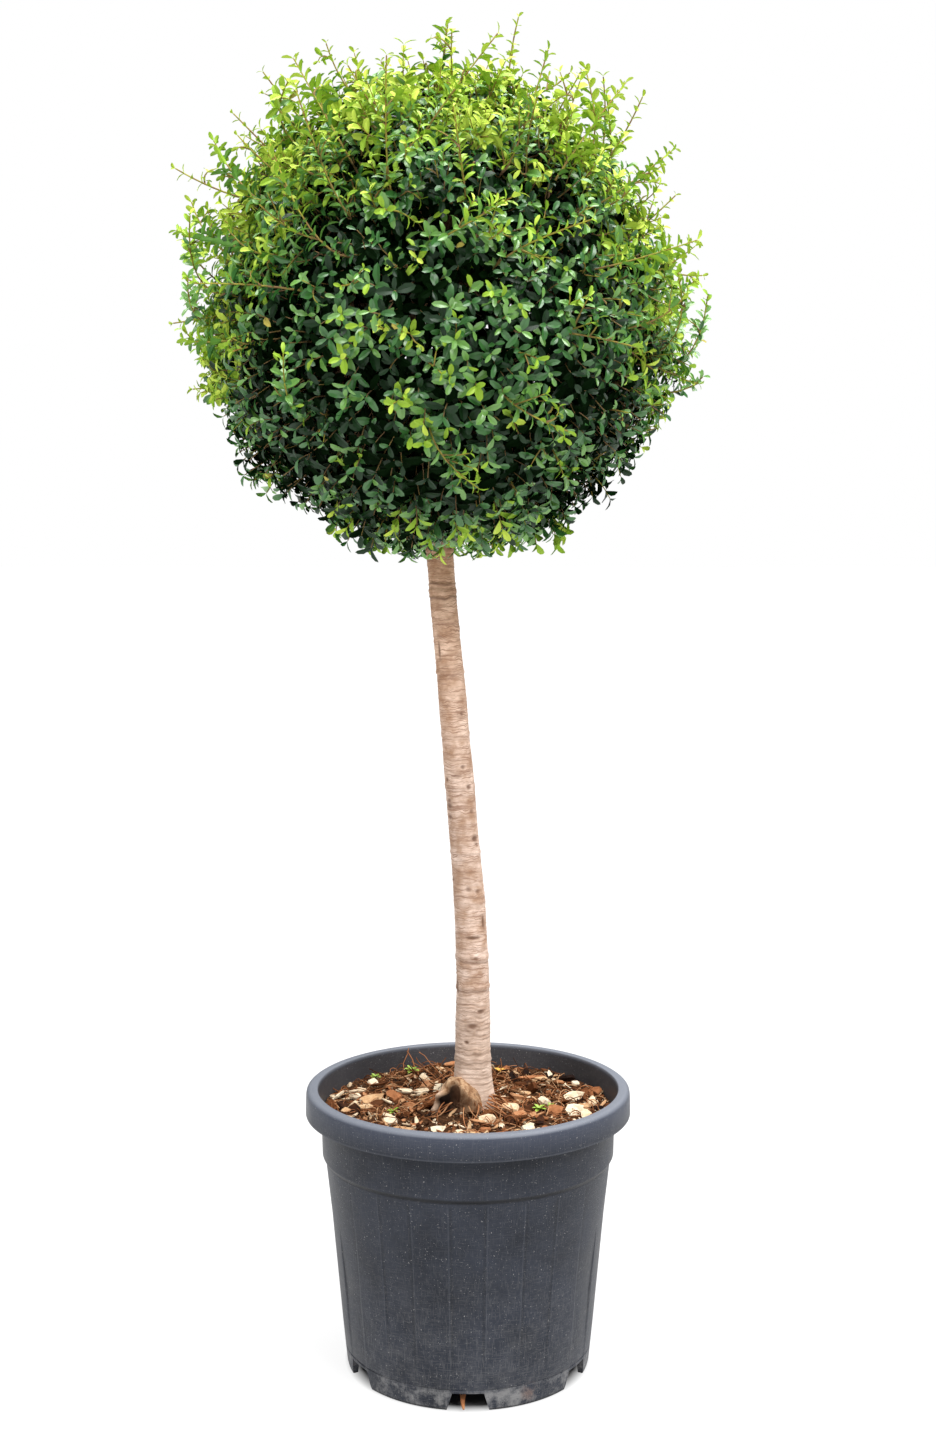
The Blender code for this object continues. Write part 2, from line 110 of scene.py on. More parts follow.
class Graph:
    """A node tree while it is being built."""

    def __init__(self, tree):
        self.tree = tree

    def add(self, kind, inputs=None, **settings):
        """Add a node, set its properties, and set or link its inputs by name or number."""
        node = self.tree.nodes.new(kind if "Node" in kind else "GeometryNode" + kind)
        node.location.x = 200 * len(self.tree.nodes)
        for name, value in settings.items():
            setattr(node, name, value)
        for key, value in (inputs or {}).items():
            socket = node.inputs[key] if isinstance(key, int) else live(node.inputs, key)
            for one in value if isinstance(value, list) else [value]:
                if isinstance(one, bpy.types.NodeSocket):
                    self.tree.links.new(one, socket)
                else:
                    socket.default_value = one
        return node

    def out(self, kind, inputs=None, output=None, **settings):
        """Add a node and give back one of its outputs: the named one, or the first in use."""
        return live(self.add(kind, inputs, **settings).outputs, output)

    def math(self, operation, *values):
        return self.out("ShaderNodeMath", dict(enumerate(values)), operation=operation)

    def times(self, product, *values):
        for value in values:
            product = self.math("MULTIPLY", product, value)
        return product

    def plus(self, total, *values):
        for value in values:
            total = self.math("ADD", total, value)
        return total

    def scaled(self, value, factor, more):
        return self.math("MULTIPLY_ADD", value, factor, more)

    def minus(self, value, other):
        return self.math("SUBTRACT", value, other)

    def gap(self, value, other):
        """How far apart two values are."""
        return self.math("ABSOLUTE", self.minus(value, other))

    def vector(self, operation, *values):
        return self.out("ShaderNodeVectorMath", dict(enumerate(values)), operation=operation)

    def xyz(self, x=0.0, y=0.0, z=0.0):
        return self.out("ShaderNodeCombineXYZ", {"X": x, "Y": y, "Z": z})

    def axes(self, vector):
        return self.add("ShaderNodeSeparateXYZ", {"Vector": vector}).outputs

    def noise(self, place, scale, detail, roughness=0.5, distortion=0.0):
        return self.out("ShaderNodeTexNoise", {
            "Vector": place, "Scale": scale, "Detail": detail, "Roughness": roughness,
            "Distortion": distortion})

    def ramp(self, value, low, high, start=0.0, end=1.0, **settings):
        """A value run from start at low to end at high."""
        return self.out("ShaderNodeMapRange", {
            "Value": value, "From Min": low, "From Max": high, "To Min": start, "To Max": end},
            **settings)

    def attribute(self, name, kind="FLOAT"):
        return self.out("InputNamedAttribute", {"Name": name}, data_type=kind)

    def store(self, geometry, name, value, kind="FLOAT"):
        inputs = {"Geometry": geometry, "Name": name, "Value": value}
        return self.out("StoreNamedAttribute", inputs, data_type=kind)

    def random(self, low, high, seed):
        return self.out("FunctionNodeRandomValue", {"Min": low, "Max": high, "Seed": seed})

    def equal(self, value, number):
        inputs = {"A": value, "B": number}
        return self.out("FunctionNodeCompare", inputs, data_type="INT", operation="EQUAL")

    def rotation(self, x=0.0, y=0.0, z=0.0):
        return self.out("FunctionNodeEulerToRotation", {"Euler": self.xyz(x, y, z)})

    def turned(self, rotation, **angles):
        """A rotation, turned further about its own axes by the given x, y and z angles."""
        inputs = {"Rotation": rotation, "Rotate By": self.rotation(**angles)}
        return self.out("FunctionNodeRotateRotation", inputs, rotation_space="LOCAL")

    def on_circle(self, angle, radius, z=0.0):
        """The place at an angle round +Z from the front."""
        return self.xyz(self.times(self.math("SINE", angle), radius),
                        self.times(self.math("COSINE", angle), self.times(radius, -1.0)), z)

    def copies(self, points, form, rotation, scale, selection):
        """Copies of an object's shape at the selected points."""
        shape = self.out("ObjectInfo", {"Object": form}, "Geometry")
        return self.out("InstanceOnPoints", {
            "Points": points, "Instance": shape, "Rotation": rotation, "Scale": scale,
            "Selection": selection})

    def joined(self, shapes):
        return self.out("JoinGeometry", {"Geometry": shapes})

    def close(self, geometry, material):
        """End a tree in Realize Instances and Set Material, for one finish or one for each choice."""
        for kind in ("GeometryNodeRealizeInstances", "GeometryNodeSetShadeSmooth"):
            geometry = self.out(kind, {"Geometry": geometry})
        for chosen, finish in material if isinstance(material, list) else [(True, material)]:
            inputs = {"Geometry": geometry, "Selection": chosen, "Material": finish}
            geometry = self.out("GeometryNodeSetMaterial", inputs)
        self.add("NodeGroupOutput", {"Geometry": geometry})
        return self.tree


def new_group(kind, name, outputs, **inputs):
    """A new node group's graph, and its inputs by name.

    An input is given as its default number, or as the word for its kind of socket.
    """
    tree = bpy.data.node_groups.new(name, kind + "NodeTree")
    rows = [("INPUT", *row) for row in inputs.items()] + [("OUTPUT", *row) for row in outputs.items()]
    for way, key, value in rows:
        word = value if isinstance(value, str) else "Int" if isinstance(value, int) else "Float"
        item = tree.interface.new_socket(key.replace("_", " ").capitalize(), in_out=way,
                                         socket_type="NodeSocket" + word)
        if word != value:
            item.default_value = value
    given = zip(inputs, tree.nodes.new("NodeGroupInput").outputs)
    return Graph(tree), SimpleNamespace(**dict(given))


def geometry_tree(name, **inputs):
    """A new Geometry Nodes tree's graph, and its inputs by name: geometry and the given ones."""
    return new_group("Geometry", name, {"geometry": "Geometry"}, geometry="Geometry", **inputs)


def grown(obj, tree, **values):
    """Run a Geometry Nodes tree on an object and leave the result as its plain mesh."""
    modifier = obj.modifiers.new(tree.name, "NODES")
    modifier.node_group = tree
    keys = {item.name.lower().replace(" ", "_"): item.identifier
            for item in tree.interface.items_tree if item.in_out == "INPUT"}
    for name, value in values.items():
        modifier[keys[name]] = value
    depsgraph = bpy.context.evaluated_depsgraph_get()
    mesh = bpy.data.meshes.new_from_object(obj.evaluated_get(depsgraph), depsgraph=depsgraph)
    obj.modifiers.remove(modifier)
    rough, obj.data = obj.data, mesh
    mesh.name = obj.name
    bpy.data.meshes.remove(rough)
    return obj


# ---- meshes
def made(name, points, edges=(), faces=(), material=None, **attributes):
    """A new mesh object, smooth where it has faces; each attribute has a value for each point."""
    mesh = bpy.data.meshes.new(name)
    mesh.from_pydata(np.reshape(points, (-1, 3)).tolist(), edges, faces)
    for key, values in attributes.items():
        kind = "INT" if np.issubdtype(values.dtype, np.integer) else "FLOAT"
        layer = mesh.attributes.new(key, kind, "POINT")
        layer.data.foreach_set("value", np.ascontiguousarray(values).ravel())
    mesh.shade_smooth()
    if material:
        mesh.materials.append(material)
    obj = bpy.data.objects.new(name, mesh)
    bpy.context.scene.collection.objects.link(obj)
    return obj


def wires(name, points, **attributes):
    """Lines of points as a mesh of edges; each attribute has a value for a line or a point."""
    count, steps = points.shape[:2]
    index = np.arange(count * steps).reshape(count, steps)
    edges = np.stack((index[:, :-1], index[:, 1:]), axis=-1).reshape(-1, 2)
    for key, values in attributes.items():
        values = np.asarray(values)
        values = values[:, None] if values.ndim == 1 else values
        attributes[key] = np.broadcast_to(values, (count, steps))
    return made(name, points, edges.tolist(), **attributes)


def skin(name, points, material, **marks):
    """A closed tube as a smooth mesh, from one row of points for each ring."""
    rings, sides = points.shape[:2]
    index = np.arange(rings * sides).reshape(rings, sides)
    beside = np.roll(index, -1, axis=1)
    quads = np.stack((index[:-1], beside[:-1], beside[1:], index[1:]), axis=-1).reshape(-1, 4)
    faces = quads.tolist() + [index[0, ::-1].tolist(), index[-1].tolist()]
    return made(name, points, (), faces, material, **marks)


def sharpen(obj, chosen):
    layer = obj.data.attributes.new("sharp_edge", "BOOLEAN", "EDGE")
    layer.data.foreach_set("value", chosen)
    return obj


def joined(name, parts):
    """Several mesh objects as one."""
    spare = [part.data for part in parts[1:]]
    with bpy.context.temp_override(active_object=parts[0], selected_editable_objects=parts,
                                   selected_objects=parts, object=parts[0]):
        bpy.ops.object.join()
    for mesh in spare:
        bpy.data.meshes.remove(mesh)
    parts[0].name = name
    parts[0].data.name = name
    return parts[0]


def discard(objects):
    for obj in objects:
        mesh = obj.data
        bpy.data.objects.remove(obj)
        bpy.data.meshes.remove(mesh)


def settle(piece, slot, *nodes):
    """Attach a finished piece to the root body, and hide the solids it stands for."""
    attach(piece, "root")
    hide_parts(*nodes)


def bumps(points, size, seed=0.0):
    """Smooth noise from -1 to 1 at each point; size is the spacing, or one for each axis."""
    places = points / np.asarray(size) + seed
    return np.array([noise.noise(place) for place in places.reshape(-1, 3)]).reshape(points.shape[:-1])


def shares(count):
    """Even steps from 0 to 1."""
    return np.linspace(0, 1.0, count)


def unit(vectors):
    return vectors / norm(vectors, axis=-1, keepdims=True)


def smooth(values):
    """An even rise from 0 at 0 to 1 at 1, flat beyond both."""
    values = np.clip(values, 0.0, 1.0)
    return values * values * (3.0 - 2 * values)


def bell(values):
    """A hump, 1 at 0 and next to nothing past 2 on either side."""
    return np.exp(-values ** 2)


def wrapped(angles):
    """Angles brought within half a turn of 0."""
    return (angles + math.pi) % TAU - math.pi


def level_ways(angles):
    """Level directions at the given angles from +X."""
    return np.stack((np.cos(angles), np.sin(angles), np.zeros_like(angles)), axis=-1)


def ways_from_below(turn, slope):
    """Directions at a turn round +Z from +X, and a slope from straight down."""
    return np.stack((np.cos(turn) * np.sin(slope), np.sin(turn) * np.sin(slope), -np.cos(slope)),
                    axis=-1)


# ---- finishes
def speckle_group():
    """Small spots, such as splashes, dust and lichen: how much of them shows at each point."""
    graph, given = new_group("Shader", "speckle", {"mask": "Float"}, vector="Vector", scale=300.0,
                             amount=0.3, softness=0.1)
    fine = graph.noise(given.vector, given.scale, 3.0, 0.6)
    above = graph.minus(fine, graph.minus(1.0, given.amount))
    mask = graph.math("DIVIDE", above, given.softness)
    graph.add("NodeGroupOutput", {"Mask": graph.out("ShaderNodeClamp", {"Value": mask})})
    return graph.tree


def streak_group():
    """Noise drawn out along one axis, such as bark rings and scuffs."""
    graph, given = new_group("Shader", "streaks", {"mask": "Float"}, vector="Vector", across=20.0,
                             along=200.0, contrast=2.0)
    scales = (given.across, given.across, given.along)
    split = graph.axes(given.vector)
    place = graph.xyz(*[graph.times(axis, scale) for axis, scale in zip(split, scales)])
    drawn = graph.minus(graph.noise(place, 1.0, 4.0, 0.55, 0.3), 0.5)
    strong = graph.scaled(drawn, given.contrast, 0.5)
    graph.add("NodeGroupOutput", {"Mask": graph.out("ShaderNodeClamp", {"Value": strong})})
    return graph.tree


class Finish(Graph):
    """A Principled material while its colour is laid on, coat by coat."""

    def __init__(self, name, colour, roughness, **values):
        self.material = bpy.data.materials.new(name)
        self.material.use_nodes = True
        super().__init__(self.material.node_tree)
        self.sockets = self.tree.nodes["Principled BSDF"].inputs
        self.colour = None
        values.update(Base_Color=(*colour, 1.0), Roughness=roughness)
        for key, value in values.items():
            self.sockets[key.replace("_", " ")].default_value = value

    def place(self):
        return self.out("ShaderNodeTexCoord", output="Object")

    def mark(self, name):
        """An attribute of the surface, from 0 to 1."""
        return self.out("ShaderNodeAttribute", output="Fac", attribute_name=name)

    def shared(self, name, maker, **inputs):
        """The mask of a shared node group, which is built the first time it is asked for."""
        tree = bpy.data.node_groups.get(name) or maker()
        inputs = {key.capitalize(): value for key, value in inputs.items()}
        return self.out("ShaderNodeGroup", inputs, node_tree=tree)

    def speckle(self, vector, scale, amount, softness):
        return self.shared("speckle", speckle_group, vector=vector, scale=scale, amount=amount,
                           softness=softness)

    def streaks(self, vector, across, along, contrast):
        return self.shared("streaks", streak_group, vector=vector, across=across, along=along,
                           contrast=contrast)

    def mixed(self, share, first, second, blend="MIX"):
        """Two colours mixed; each is a socket or three numbers."""
        first, second = (colour if isinstance(colour, bpy.types.NodeSocket) else (*colour, 1.0)
                         for colour in (first, second))
        inputs = {"Factor": share, "A": first, "B": second}
        return self.out("ShaderNodeMix", inputs, "Result", data_type="RGBA", blend_type=blend)

    def coat(self, tint, *amounts):
        """Lay a colour over the others, as much of it as the product of the amounts."""
        self.colour = self.mixed(self.times(*amounts), self.colour, tint)

    def done(self, bump=None, **links):
        """Link the colour, a bump (its height, strength and distance) and the given sockets."""
        if self.colour:
            links["Base_Color"] = self.colour
        if bump:
            inputs = dict(zip(("Height", "Strength", "Distance"), bump))
            links["Normal"] = self.out("ShaderNodeBump", inputs)
        for key, socket in links.items():
            self.tree.links.new(socket, self.sockets[key.replace("_", " ")])
        return self.material


# ---- sizes and colours a user would change
def a_setting(kind, **fixed):
    """A maker of one sort of setting, from its name, description, default and range."""
    def make(name, description, default, low=0.0, high=1.0, **more):
        return kind(name=name, description=description, default=default, min=low, max=high,
                    **fixed, **more)
    return make


a_colour = a_setting(FloatVectorProperty, subtype="COLOR")
a_length = a_setting(FloatProperty, subtype="DISTANCE", unit="LENGTH", precision=4)
a_count = a_setting(IntProperty)
an_amount = a_setting(FloatProperty)


class TopiaryPotSettings(bpy.types.PropertyGroup):
    height: a_length("Height", "Ground to lip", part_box("pot")[1].z, 0.1, 0.6)
    rim: a_length("Rim Radius", "Outside of the rim", 0.18, 0.05, 0.4)
    foot: a_length("Foot Radius", "The tapered body at the ground", 0.136, 0.05, 0.4)
    wall: a_length("Wall", "Thickness of the plastic", 0.003, 0.001, 0.01)
    flutes: a_count("Flutes", "Sunk panels round the body", 12, 3, 36)
    flute_depth: a_length("Flute Depth", "Depth under the collar", 0.003, 0.0, 0.01)
    notches: a_count("Notches", "Notches through the foot ring", 6, 0, 12)
    plastic: a_colour("Plastic", "Clean plastic", (0.02, 0.0235, 0.034))
    dust: a_colour("Dust", "Lime and dust on it", (0.42, 0.41, 0.4))


class TopiaryTrunkSettings(bpy.types.PropertyGroup):
    rings: a_count("Rings", "Sections along the trunk", 760, 40, 900)
    sides: a_count("Sides", "Points round each section", 96, 12, 120)
    relief: a_length("Relief", "Height of the rings in the bark", 0.00032, 0.0, 0.003)
    bark: a_colour("Bark", "Smooth bark", (0.715, 0.54, 0.42))
    scar: a_colour("Scar", "Knots, nicks and old collars", (0.15, 0.07, 0.036))


class TopiaryFoliageSettings(bpy.types.PropertyGroup):
    seed: a_count("Seed", "Grows another tree", 11, 0, 9999)
    shoots: a_count("Shoots", "Shoots out to the clipped outline", 1900, 200, 6000)
    young_shoots: a_count("Young Shoots", "Fresh shoots past the outline", 400, 0, 1500)
    leaf: a_length("Leaf", "Full-grown leaf", 0.0168, 0.004, 0.06)
    young_leaf: a_length("Young Leaf", "Leaf on a fresh shoot", 0.015, 0.003, 0.06)
    pair_gap: a_length("Pair Gap", "Between pairs of leaves", 0.008, 0.002, 0.05)
    # the deep tone is old leaves' colour darkened towards black: painted shade deep inside the head
    deep: a_colour("Deep", "Old leaves well inside", (0.0015, 0.0095, 0.001))
    dark: a_colour("Dark", "Full-grown leaves in the shade", (0.0048, 0.03, 0.0052))
    middle: a_colour("Middle", "Full-grown leaves", (0.037, 0.154, 0.027))
    bright: a_colour("Bright", "Leaves of this year", (0.142, 0.338, 0.056))
    fresh: a_colour("Fresh", "Leaves of this month", (0.295, 0.485, 0.042))
    lime: a_colour("Lime", "Leaves just opened", (0.52, 0.675, 0.09))
    straw: a_colour("Straw", "A few yellowed leaves", (0.42, 0.36, 0.08))


class TopiarySoilSettings(bpy.types.PropertyGroup):
    seed: a_count("Seed", "Strews the chips anew", 5, 0, 9999)
    chips: an_amount("Chips", "To a square metre", 11000.0, 0.0, 40000.0)
    crumbs: an_amount("Crumbs", "To a square metre", 38000.0, 0.0, 120000.0)
    mix: a_colour("Mix", "Damp potting mix", (0.036, 0.016, 0.007))
    chip: a_colour("Chip", "Bark chips", (0.43, 0.178, 0.076))
    pale: a_colour("Pale", "Bare wood chips", (0.86, 0.75, 0.56))


class TopiaryStageSettings(bpy.types.PropertyGroup):
    lens: an_amount("Lens", "Focal length", 45.42, 10.0, 300.0, unit="CAMERA")
    distance: a_length("Distance", "From the pot to the camera", 1.9828, 0.5, 20.0)
    eye: a_length("Eye Height", "Of the camera", 0.9149, 0.0, 5.0)
    pitch: an_amount("Pitch", "How far it looks down", 0.1, -1.0, 1.5, subtype="ANGLE")
    room: an_amount("Room", "Even light from all round", 0.18, 0.0, 5.0)
    backdrop: an_amount("Backdrop", "Brightness of the backdrop", 1.0, 0.0, 5.0)
    overhead: an_amount("Overhead Light", "Light from above", 5.4, 0.0, 20.0)
    front: an_amount("Front Light", "Lights from the front", 3.3, 0.0, 20.0)


# ---- the stage
PALE_FLOOR = 0.16  # its grey
FLOOR_HALF = 60.0
GLOW = 0.84  # the floor's own light, away from the pot
GLOW_EDGE = (0.122, 0.139)  # where that light sets in, from the pot's middle; the darker ring inside it is a painted contact shadow round the pot's foot


class TOPIARY_OT_stage(bpy.types.Operator):
    """Set up the pale floor, the soft lights and the camera"""
    bl_idname = "topiary.stage"
    bl_label = "Stage"

    def execute(self, context):
        scene = context.scene
        settings = scene.topiary_stage
        finish = Finish("pale_floor", [PALE_FLOOR] * 3, 1.0, Specular_IOR_Level=0.0,
                        Emission_Color=(1.0, 1.0, 1.0, 1.0))
        away = finish.vector("LENGTH", finish.place())
        material = finish.done(Emission_Strength=finish.times(finish.ramp(away, *GLOW_EDGE), GLOW))
        material.cycles.emission_sampling = "NONE"
        corners = np.array([(-1, -1, 0), (1, -1, 0), (1, 1, 0), (-1, 1, 0)]) * FLOOR_HALF
        made("floor", corners, faces=[(0, 1, 2, 3)], material=material)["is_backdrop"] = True
        scene.world = self.room(settings)
        self.sun("overhead_light", settings.overhead, 56.0, (0.2, 0.04, 1.0))
        self.sun("right_light", settings.front * 0.6, 24.0, (0.62, -0.72, 0.92))
        self.sun("left_light", settings.front * 0.4, 28.0, (-0.66, -0.62, 0.8))
        camera = bpy.data.objects.new("camera", bpy.data.cameras.new("camera"))
        scene.collection.objects.link(camera)
        camera.location = (0.0, -settings.distance, settings.eye)
        camera.rotation_euler = (math.pi / 2 - settings.pitch, 0.0, 0.0)
        camera.data.lens = settings.lens
        camera.data.sensor_width = 36.0
        scene.camera = camera
        scene.view_settings.view_transform = "Standard"
        return {"FINISHED"}

    def room(self, settings):
        """An even room that lights softly, and shows as a plain white backdrop."""
        world = bpy.data.worlds.new("white_room")
        world.use_nodes = True
        graph = Graph(world.node_tree)
        seen = graph.out("ShaderNodeLightPath", None, "Is Camera Ray")
        light = graph.ramp(seen, 0.0, 1.0, settings.room, settings.backdrop)
        sky = world.node_tree.nodes["Background"]
        sky.inputs["Color"].default_value = (1.0, 1.0, 1.0, 1.0)
        graph.tree.links.new(light, sky.inputs["Strength"])
        return world

    def sun(self, name, strength, softness, way):
        light = bpy.data.lights.new(name, "SUN")
        light.energy = strength
        light.angle = math.radians(softness)
        lamp = bpy.data.objects.new(name, light)
        bpy.context.scene.collection.objects.link(lamp)
        lamp.location = Vector(way) * 3
        lamp.rotation_euler = (-Vector(way)).to_track_quat("-Z", "Y").to_euler()


# ---- the pot
POT_SIDES = 384
COLLAR_BOTTOM = 0.239
SKIRT_BOTTOM = 0.285
BODY_TOP = 0.232
BODY_TAPER = 0.09
FOOT_RING = 0.024
FLOOR_HEIGHT = 0.0205
FLOOR_TOP = 0.0235
WELL_RADII = (0.03, 0.034)
COLLAR_RADII = (0.1618, 0.1628)  # the collar's foot, and where the skirt leaves it
LIP_RADII = (0.167, 0.1752)  # the flat of the lip
NOTCH_WIDTHS = (0.0454, 0.0338)
NOTCH_HEIGHT = 0.02
NOTCH_REACH = 0.06
DRAIN_DEPTH = 0.012
WELD = 0.000002  # points closer than this become one
SHARP = math.radians(38.0)  # an edge that bends more than this stays crisp


def rounded(corners):
    """A section's points, with each corner that has a radius rounded off by a short arc."""
    points = []
    for index, (radius, height, fillet) in enumerate(corners):
        corner = Vector((radius, height))
        if fillet == 0.0:
            points.append(tuple(corner))
            continue
        before = Vector(corners[index - 1][:2]) - corner
        after = Vector(corners[index + 1][:2]) - corner
        reach = min(fillet, before.length * 0.45, after.length * 0.45)
        start = corner + before.normalized() * reach
        end = corner + after.normalized() * reach
        steps = 4 if fillet > 0.0009 else 2
        for step in range(steps + 1):
            t = step / steps
            points.append(tuple(start * (1 - t) ** 2 + corner * (2 * t * (1 - t)) + end * t * t))
    return points


def pot_section(settings):
    """The pot's section from the middle of the underside, up the outside and down the inside."""
    wall = settings.wall
    top = settings.height
    rim = settings.rim

    def body(height, fillet=0.0, inset=0.0, like=None):
        """A corner on the tapered body, set in a little; its radius may be like another height's."""
        z = height if like is None else like
        return settings.foot + BODY_TAPER * z - inset, height, fillet

    rows = [
        (0.0, 0.0, 0.0), (WELL_RADII[0], 0.0, 0.0012), (WELL_RADII[1], FLOOR_HEIGHT, 0.002),
        body(FLOOR_HEIGHT, 0.002, 3 * wall), body(0.0, 0.0006, 2.3 * wall),
        body(0.0, 0.001, 0.0012), body(0.004, 0.0006, 0.0005),
        body(FOOT_RING - 0.0016, 0.0004, 0.0004, FOOT_RING),
        body(FOOT_RING - 0.0006, 0.0003, 0.0014, FOOT_RING),
        body(FOOT_RING + 0.0002, 0.0004, 0.0002, FOOT_RING),
        *[body(z) for z in (0.05, 0.09, 0.14, 0.185, BODY_TOP - 0.004)], body(BODY_TOP, 0.0016),
        (COLLAR_RADII[0], COLLAR_BOTTOM, 0.0014), (COLLAR_RADII[1], SKIRT_BOTTOM - wall, 0.003),
        (0.1666 + 0.8 * wall, top - wall, 0.002), (rim - 1.2 * wall, top - wall, 0.002),
        (rim - wall, SKIRT_BOTTOM, 0.0007), (rim, SKIRT_BOTTOM, 0.0007),
        (rim - 0.0004, top - 2.2 * wall, 0.003), (rim - 0.4 * wall, top - 0.8 * wall, 0.0014),
        (LIP_RADII[1], top, 0.0022), (LIP_RADII[0], top, 0.001),
        (LIP_RADII[0] - 0.0012, top - 1.2 * wall, 0.0012),
        (COLLAR_RADII[1] - wall, SKIRT_BOTTOM, 0.002),
        (COLLAR_RADII[0] - wall, COLLAR_BOTTOM, 0.002), body(FLOOR_TOP, 0.003, wall),
        (WELL_RADII[1] - wall, FLOOR_TOP, 0.002), (WELL_RADII[0] - wall, wall, 0.002),
        (0.0, wall, 0.0),
    ]
    points = np.array([(radius, 0.0, z) for radius, z in rounded(rows)])
    radius, z = points[:, 0], points[:, 2]
    on_body = radius > settings.foot + BODY_TAPER * z - 0.001
    on_body &= (z > FOOT_RING) & (z < BODY_TOP + 0.001)
    rise = np.clip((z - FOOT_RING) / (BODY_TOP - FOOT_RING), 0.0, 1.0)
    closing = np.clip((BODY_TOP + 0.0002 - z) / 0.003, 0.0, 1.0)
    depth = (0.0004 + (settings.flute_depth - 0.0004) * rise) * (0.35 + 0.65 * closing)
    return points, np.where(on_body, depth, 0.0)


def turned_wall_tree():
    """Turn a section about +Z, sink flutes in it, and cut notches and drain holes through it."""
    graph, given = geometry_tree(
        "turned_wall", sides=96, flutes=12, flute_share=0.5, flute_edge=0.028,
        notches=6, notch_radius=0.136, notch_height=0.02, notch_width=0.045, notch_taper=0.29,
        drain_holes=6, drain_radius=0.0075, drain_circle=0.085, material="Material")
    section = given.geometry
    rows = graph.out("AttributeDomainSize", {"Geometry": section}, "Point Count")
    columns = graph.plus(given.sides, 1.0)
    wall = graph.out("MeshGrid", {"Vertices X": columns, "Vertices Y": rows}, "Mesh")
    index = graph.out("InputIndex")
    row = graph.math("FLOORED_MODULO", index, rows)
    column = graph.math("FLOOR", graph.math("DIVIDE", graph.plus(index, 0.5), rows))

    def of_row(value, kind):
        inputs = {"Geometry": section, "Value": value, "Index": row}
        return graph.out("SampleIndex", inputs, data_type=kind)

    place = graph.axes(of_row(graph.out("InputPosition"), "FLOAT_VECTOR"))
    depth = of_row(graph.attribute("flute_depth"), "FLOAT")
    share = graph.math("DIVIDE", column, given.sides)
    fold = graph.times(share, given.flutes)
    off = graph.gap(fold, graph.math("ROUND", fold))
    half = graph.times(given.flute_share, 0.5)
    sunk = graph.ramp(off, graph.minus(half, given.flute_edge), half, 1.0, 0.0,
                      interpolation_type="SMOOTHSTEP")
    radius = graph.minus(place["X"], graph.times(depth, sunk))
    position = graph.on_circle(graph.times(share, TAU), radius, place["Z"])
    wall = graph.out("SetPosition", {"Geometry": wall, "Position": position})
    wall = graph.out("MergeByDistance", {"Geometry": wall, "Distance": WELD})
    cutters = graph.joined([notch_cutters(graph, given), drain_cutters(graph, given)])
    wall = graph.out("MeshBoolean", {"Mesh 1": wall, "Mesh 2": cutters},
                     operation="DIFFERENCE", solver="EXACT")
    bend = graph.out("InputMeshEdgeAngle", None, "Unsigned Angle")
    sharp = graph.out("FunctionNodeCompare", {"A": bend, "B": SHARP}, data_type="FLOAT",
                      operation="GREATER_THAN")
    inputs = {"Geometry": wall, "Selection": sharp, "Shade Smooth": False}
    wall = graph.out("SetShadeSmooth", inputs, domain="EDGE")
    return graph.close(wall, given.material)


def notch_cutters(graph, given):
    """Wedges out through the foot ring, wide at the ground; the first is at the front."""
    size = graph.xyz(given.notch_width, NOTCH_REACH, graph.times(given.notch_height, 2.0))
    block = graph.out("MeshCube", {"Size": size}, "Mesh")
    x, _, z = graph.axes(graph.out("InputPosition"))
    narrow = graph.times(given.notch_taper, -1.0)
    shift = graph.times(x, narrow, graph.math("DIVIDE", z, given.notch_height))
    block = graph.out("SetPosition", {"Geometry": block, "Offset": graph.xyz(shift)})
    return ring_of(graph, block, given.notches, given.notch_radius, 0.0)


def drain_cutters(graph, given):
    """Round holes through the raised floor, between the notches."""
    inputs = {"Vertices": 32, "Radius": given.drain_radius, "Depth": DRAIN_DEPTH}
    pin = graph.out("MeshCylinder", inputs, "Mesh")
    pin = graph.out("Transform", {"Geometry": pin, "Translation": (0.0, 0.0, FLOOR_HEIGHT + 0.0015)})
    return ring_of(graph, pin, given.drain_holes, given.drain_circle, 0.5)


def ring_of(graph, shape, count, radius, phase):
    """Copies of a shape evenly round +Z; phase is the first one's place, as a share of a step."""
    line = graph.out("MeshLine", {"Count": count}, "Mesh")
    number = graph.plus(graph.out("InputIndex"), phase)
    angle = graph.times(graph.math("DIVIDE", number, count), TAU)
    points = graph.out("MeshToPoints", {"Mesh": line, "Position": graph.on_circle(angle, radius)})
    inputs = {"Points": points, "Instance": shape, "Rotation": graph.rotation(z=angle)}
    copies = graph.out("InstanceOnPoints", inputs)
    return graph.out("GeometryNodeRealizeInstances", {"Geometry": copies})


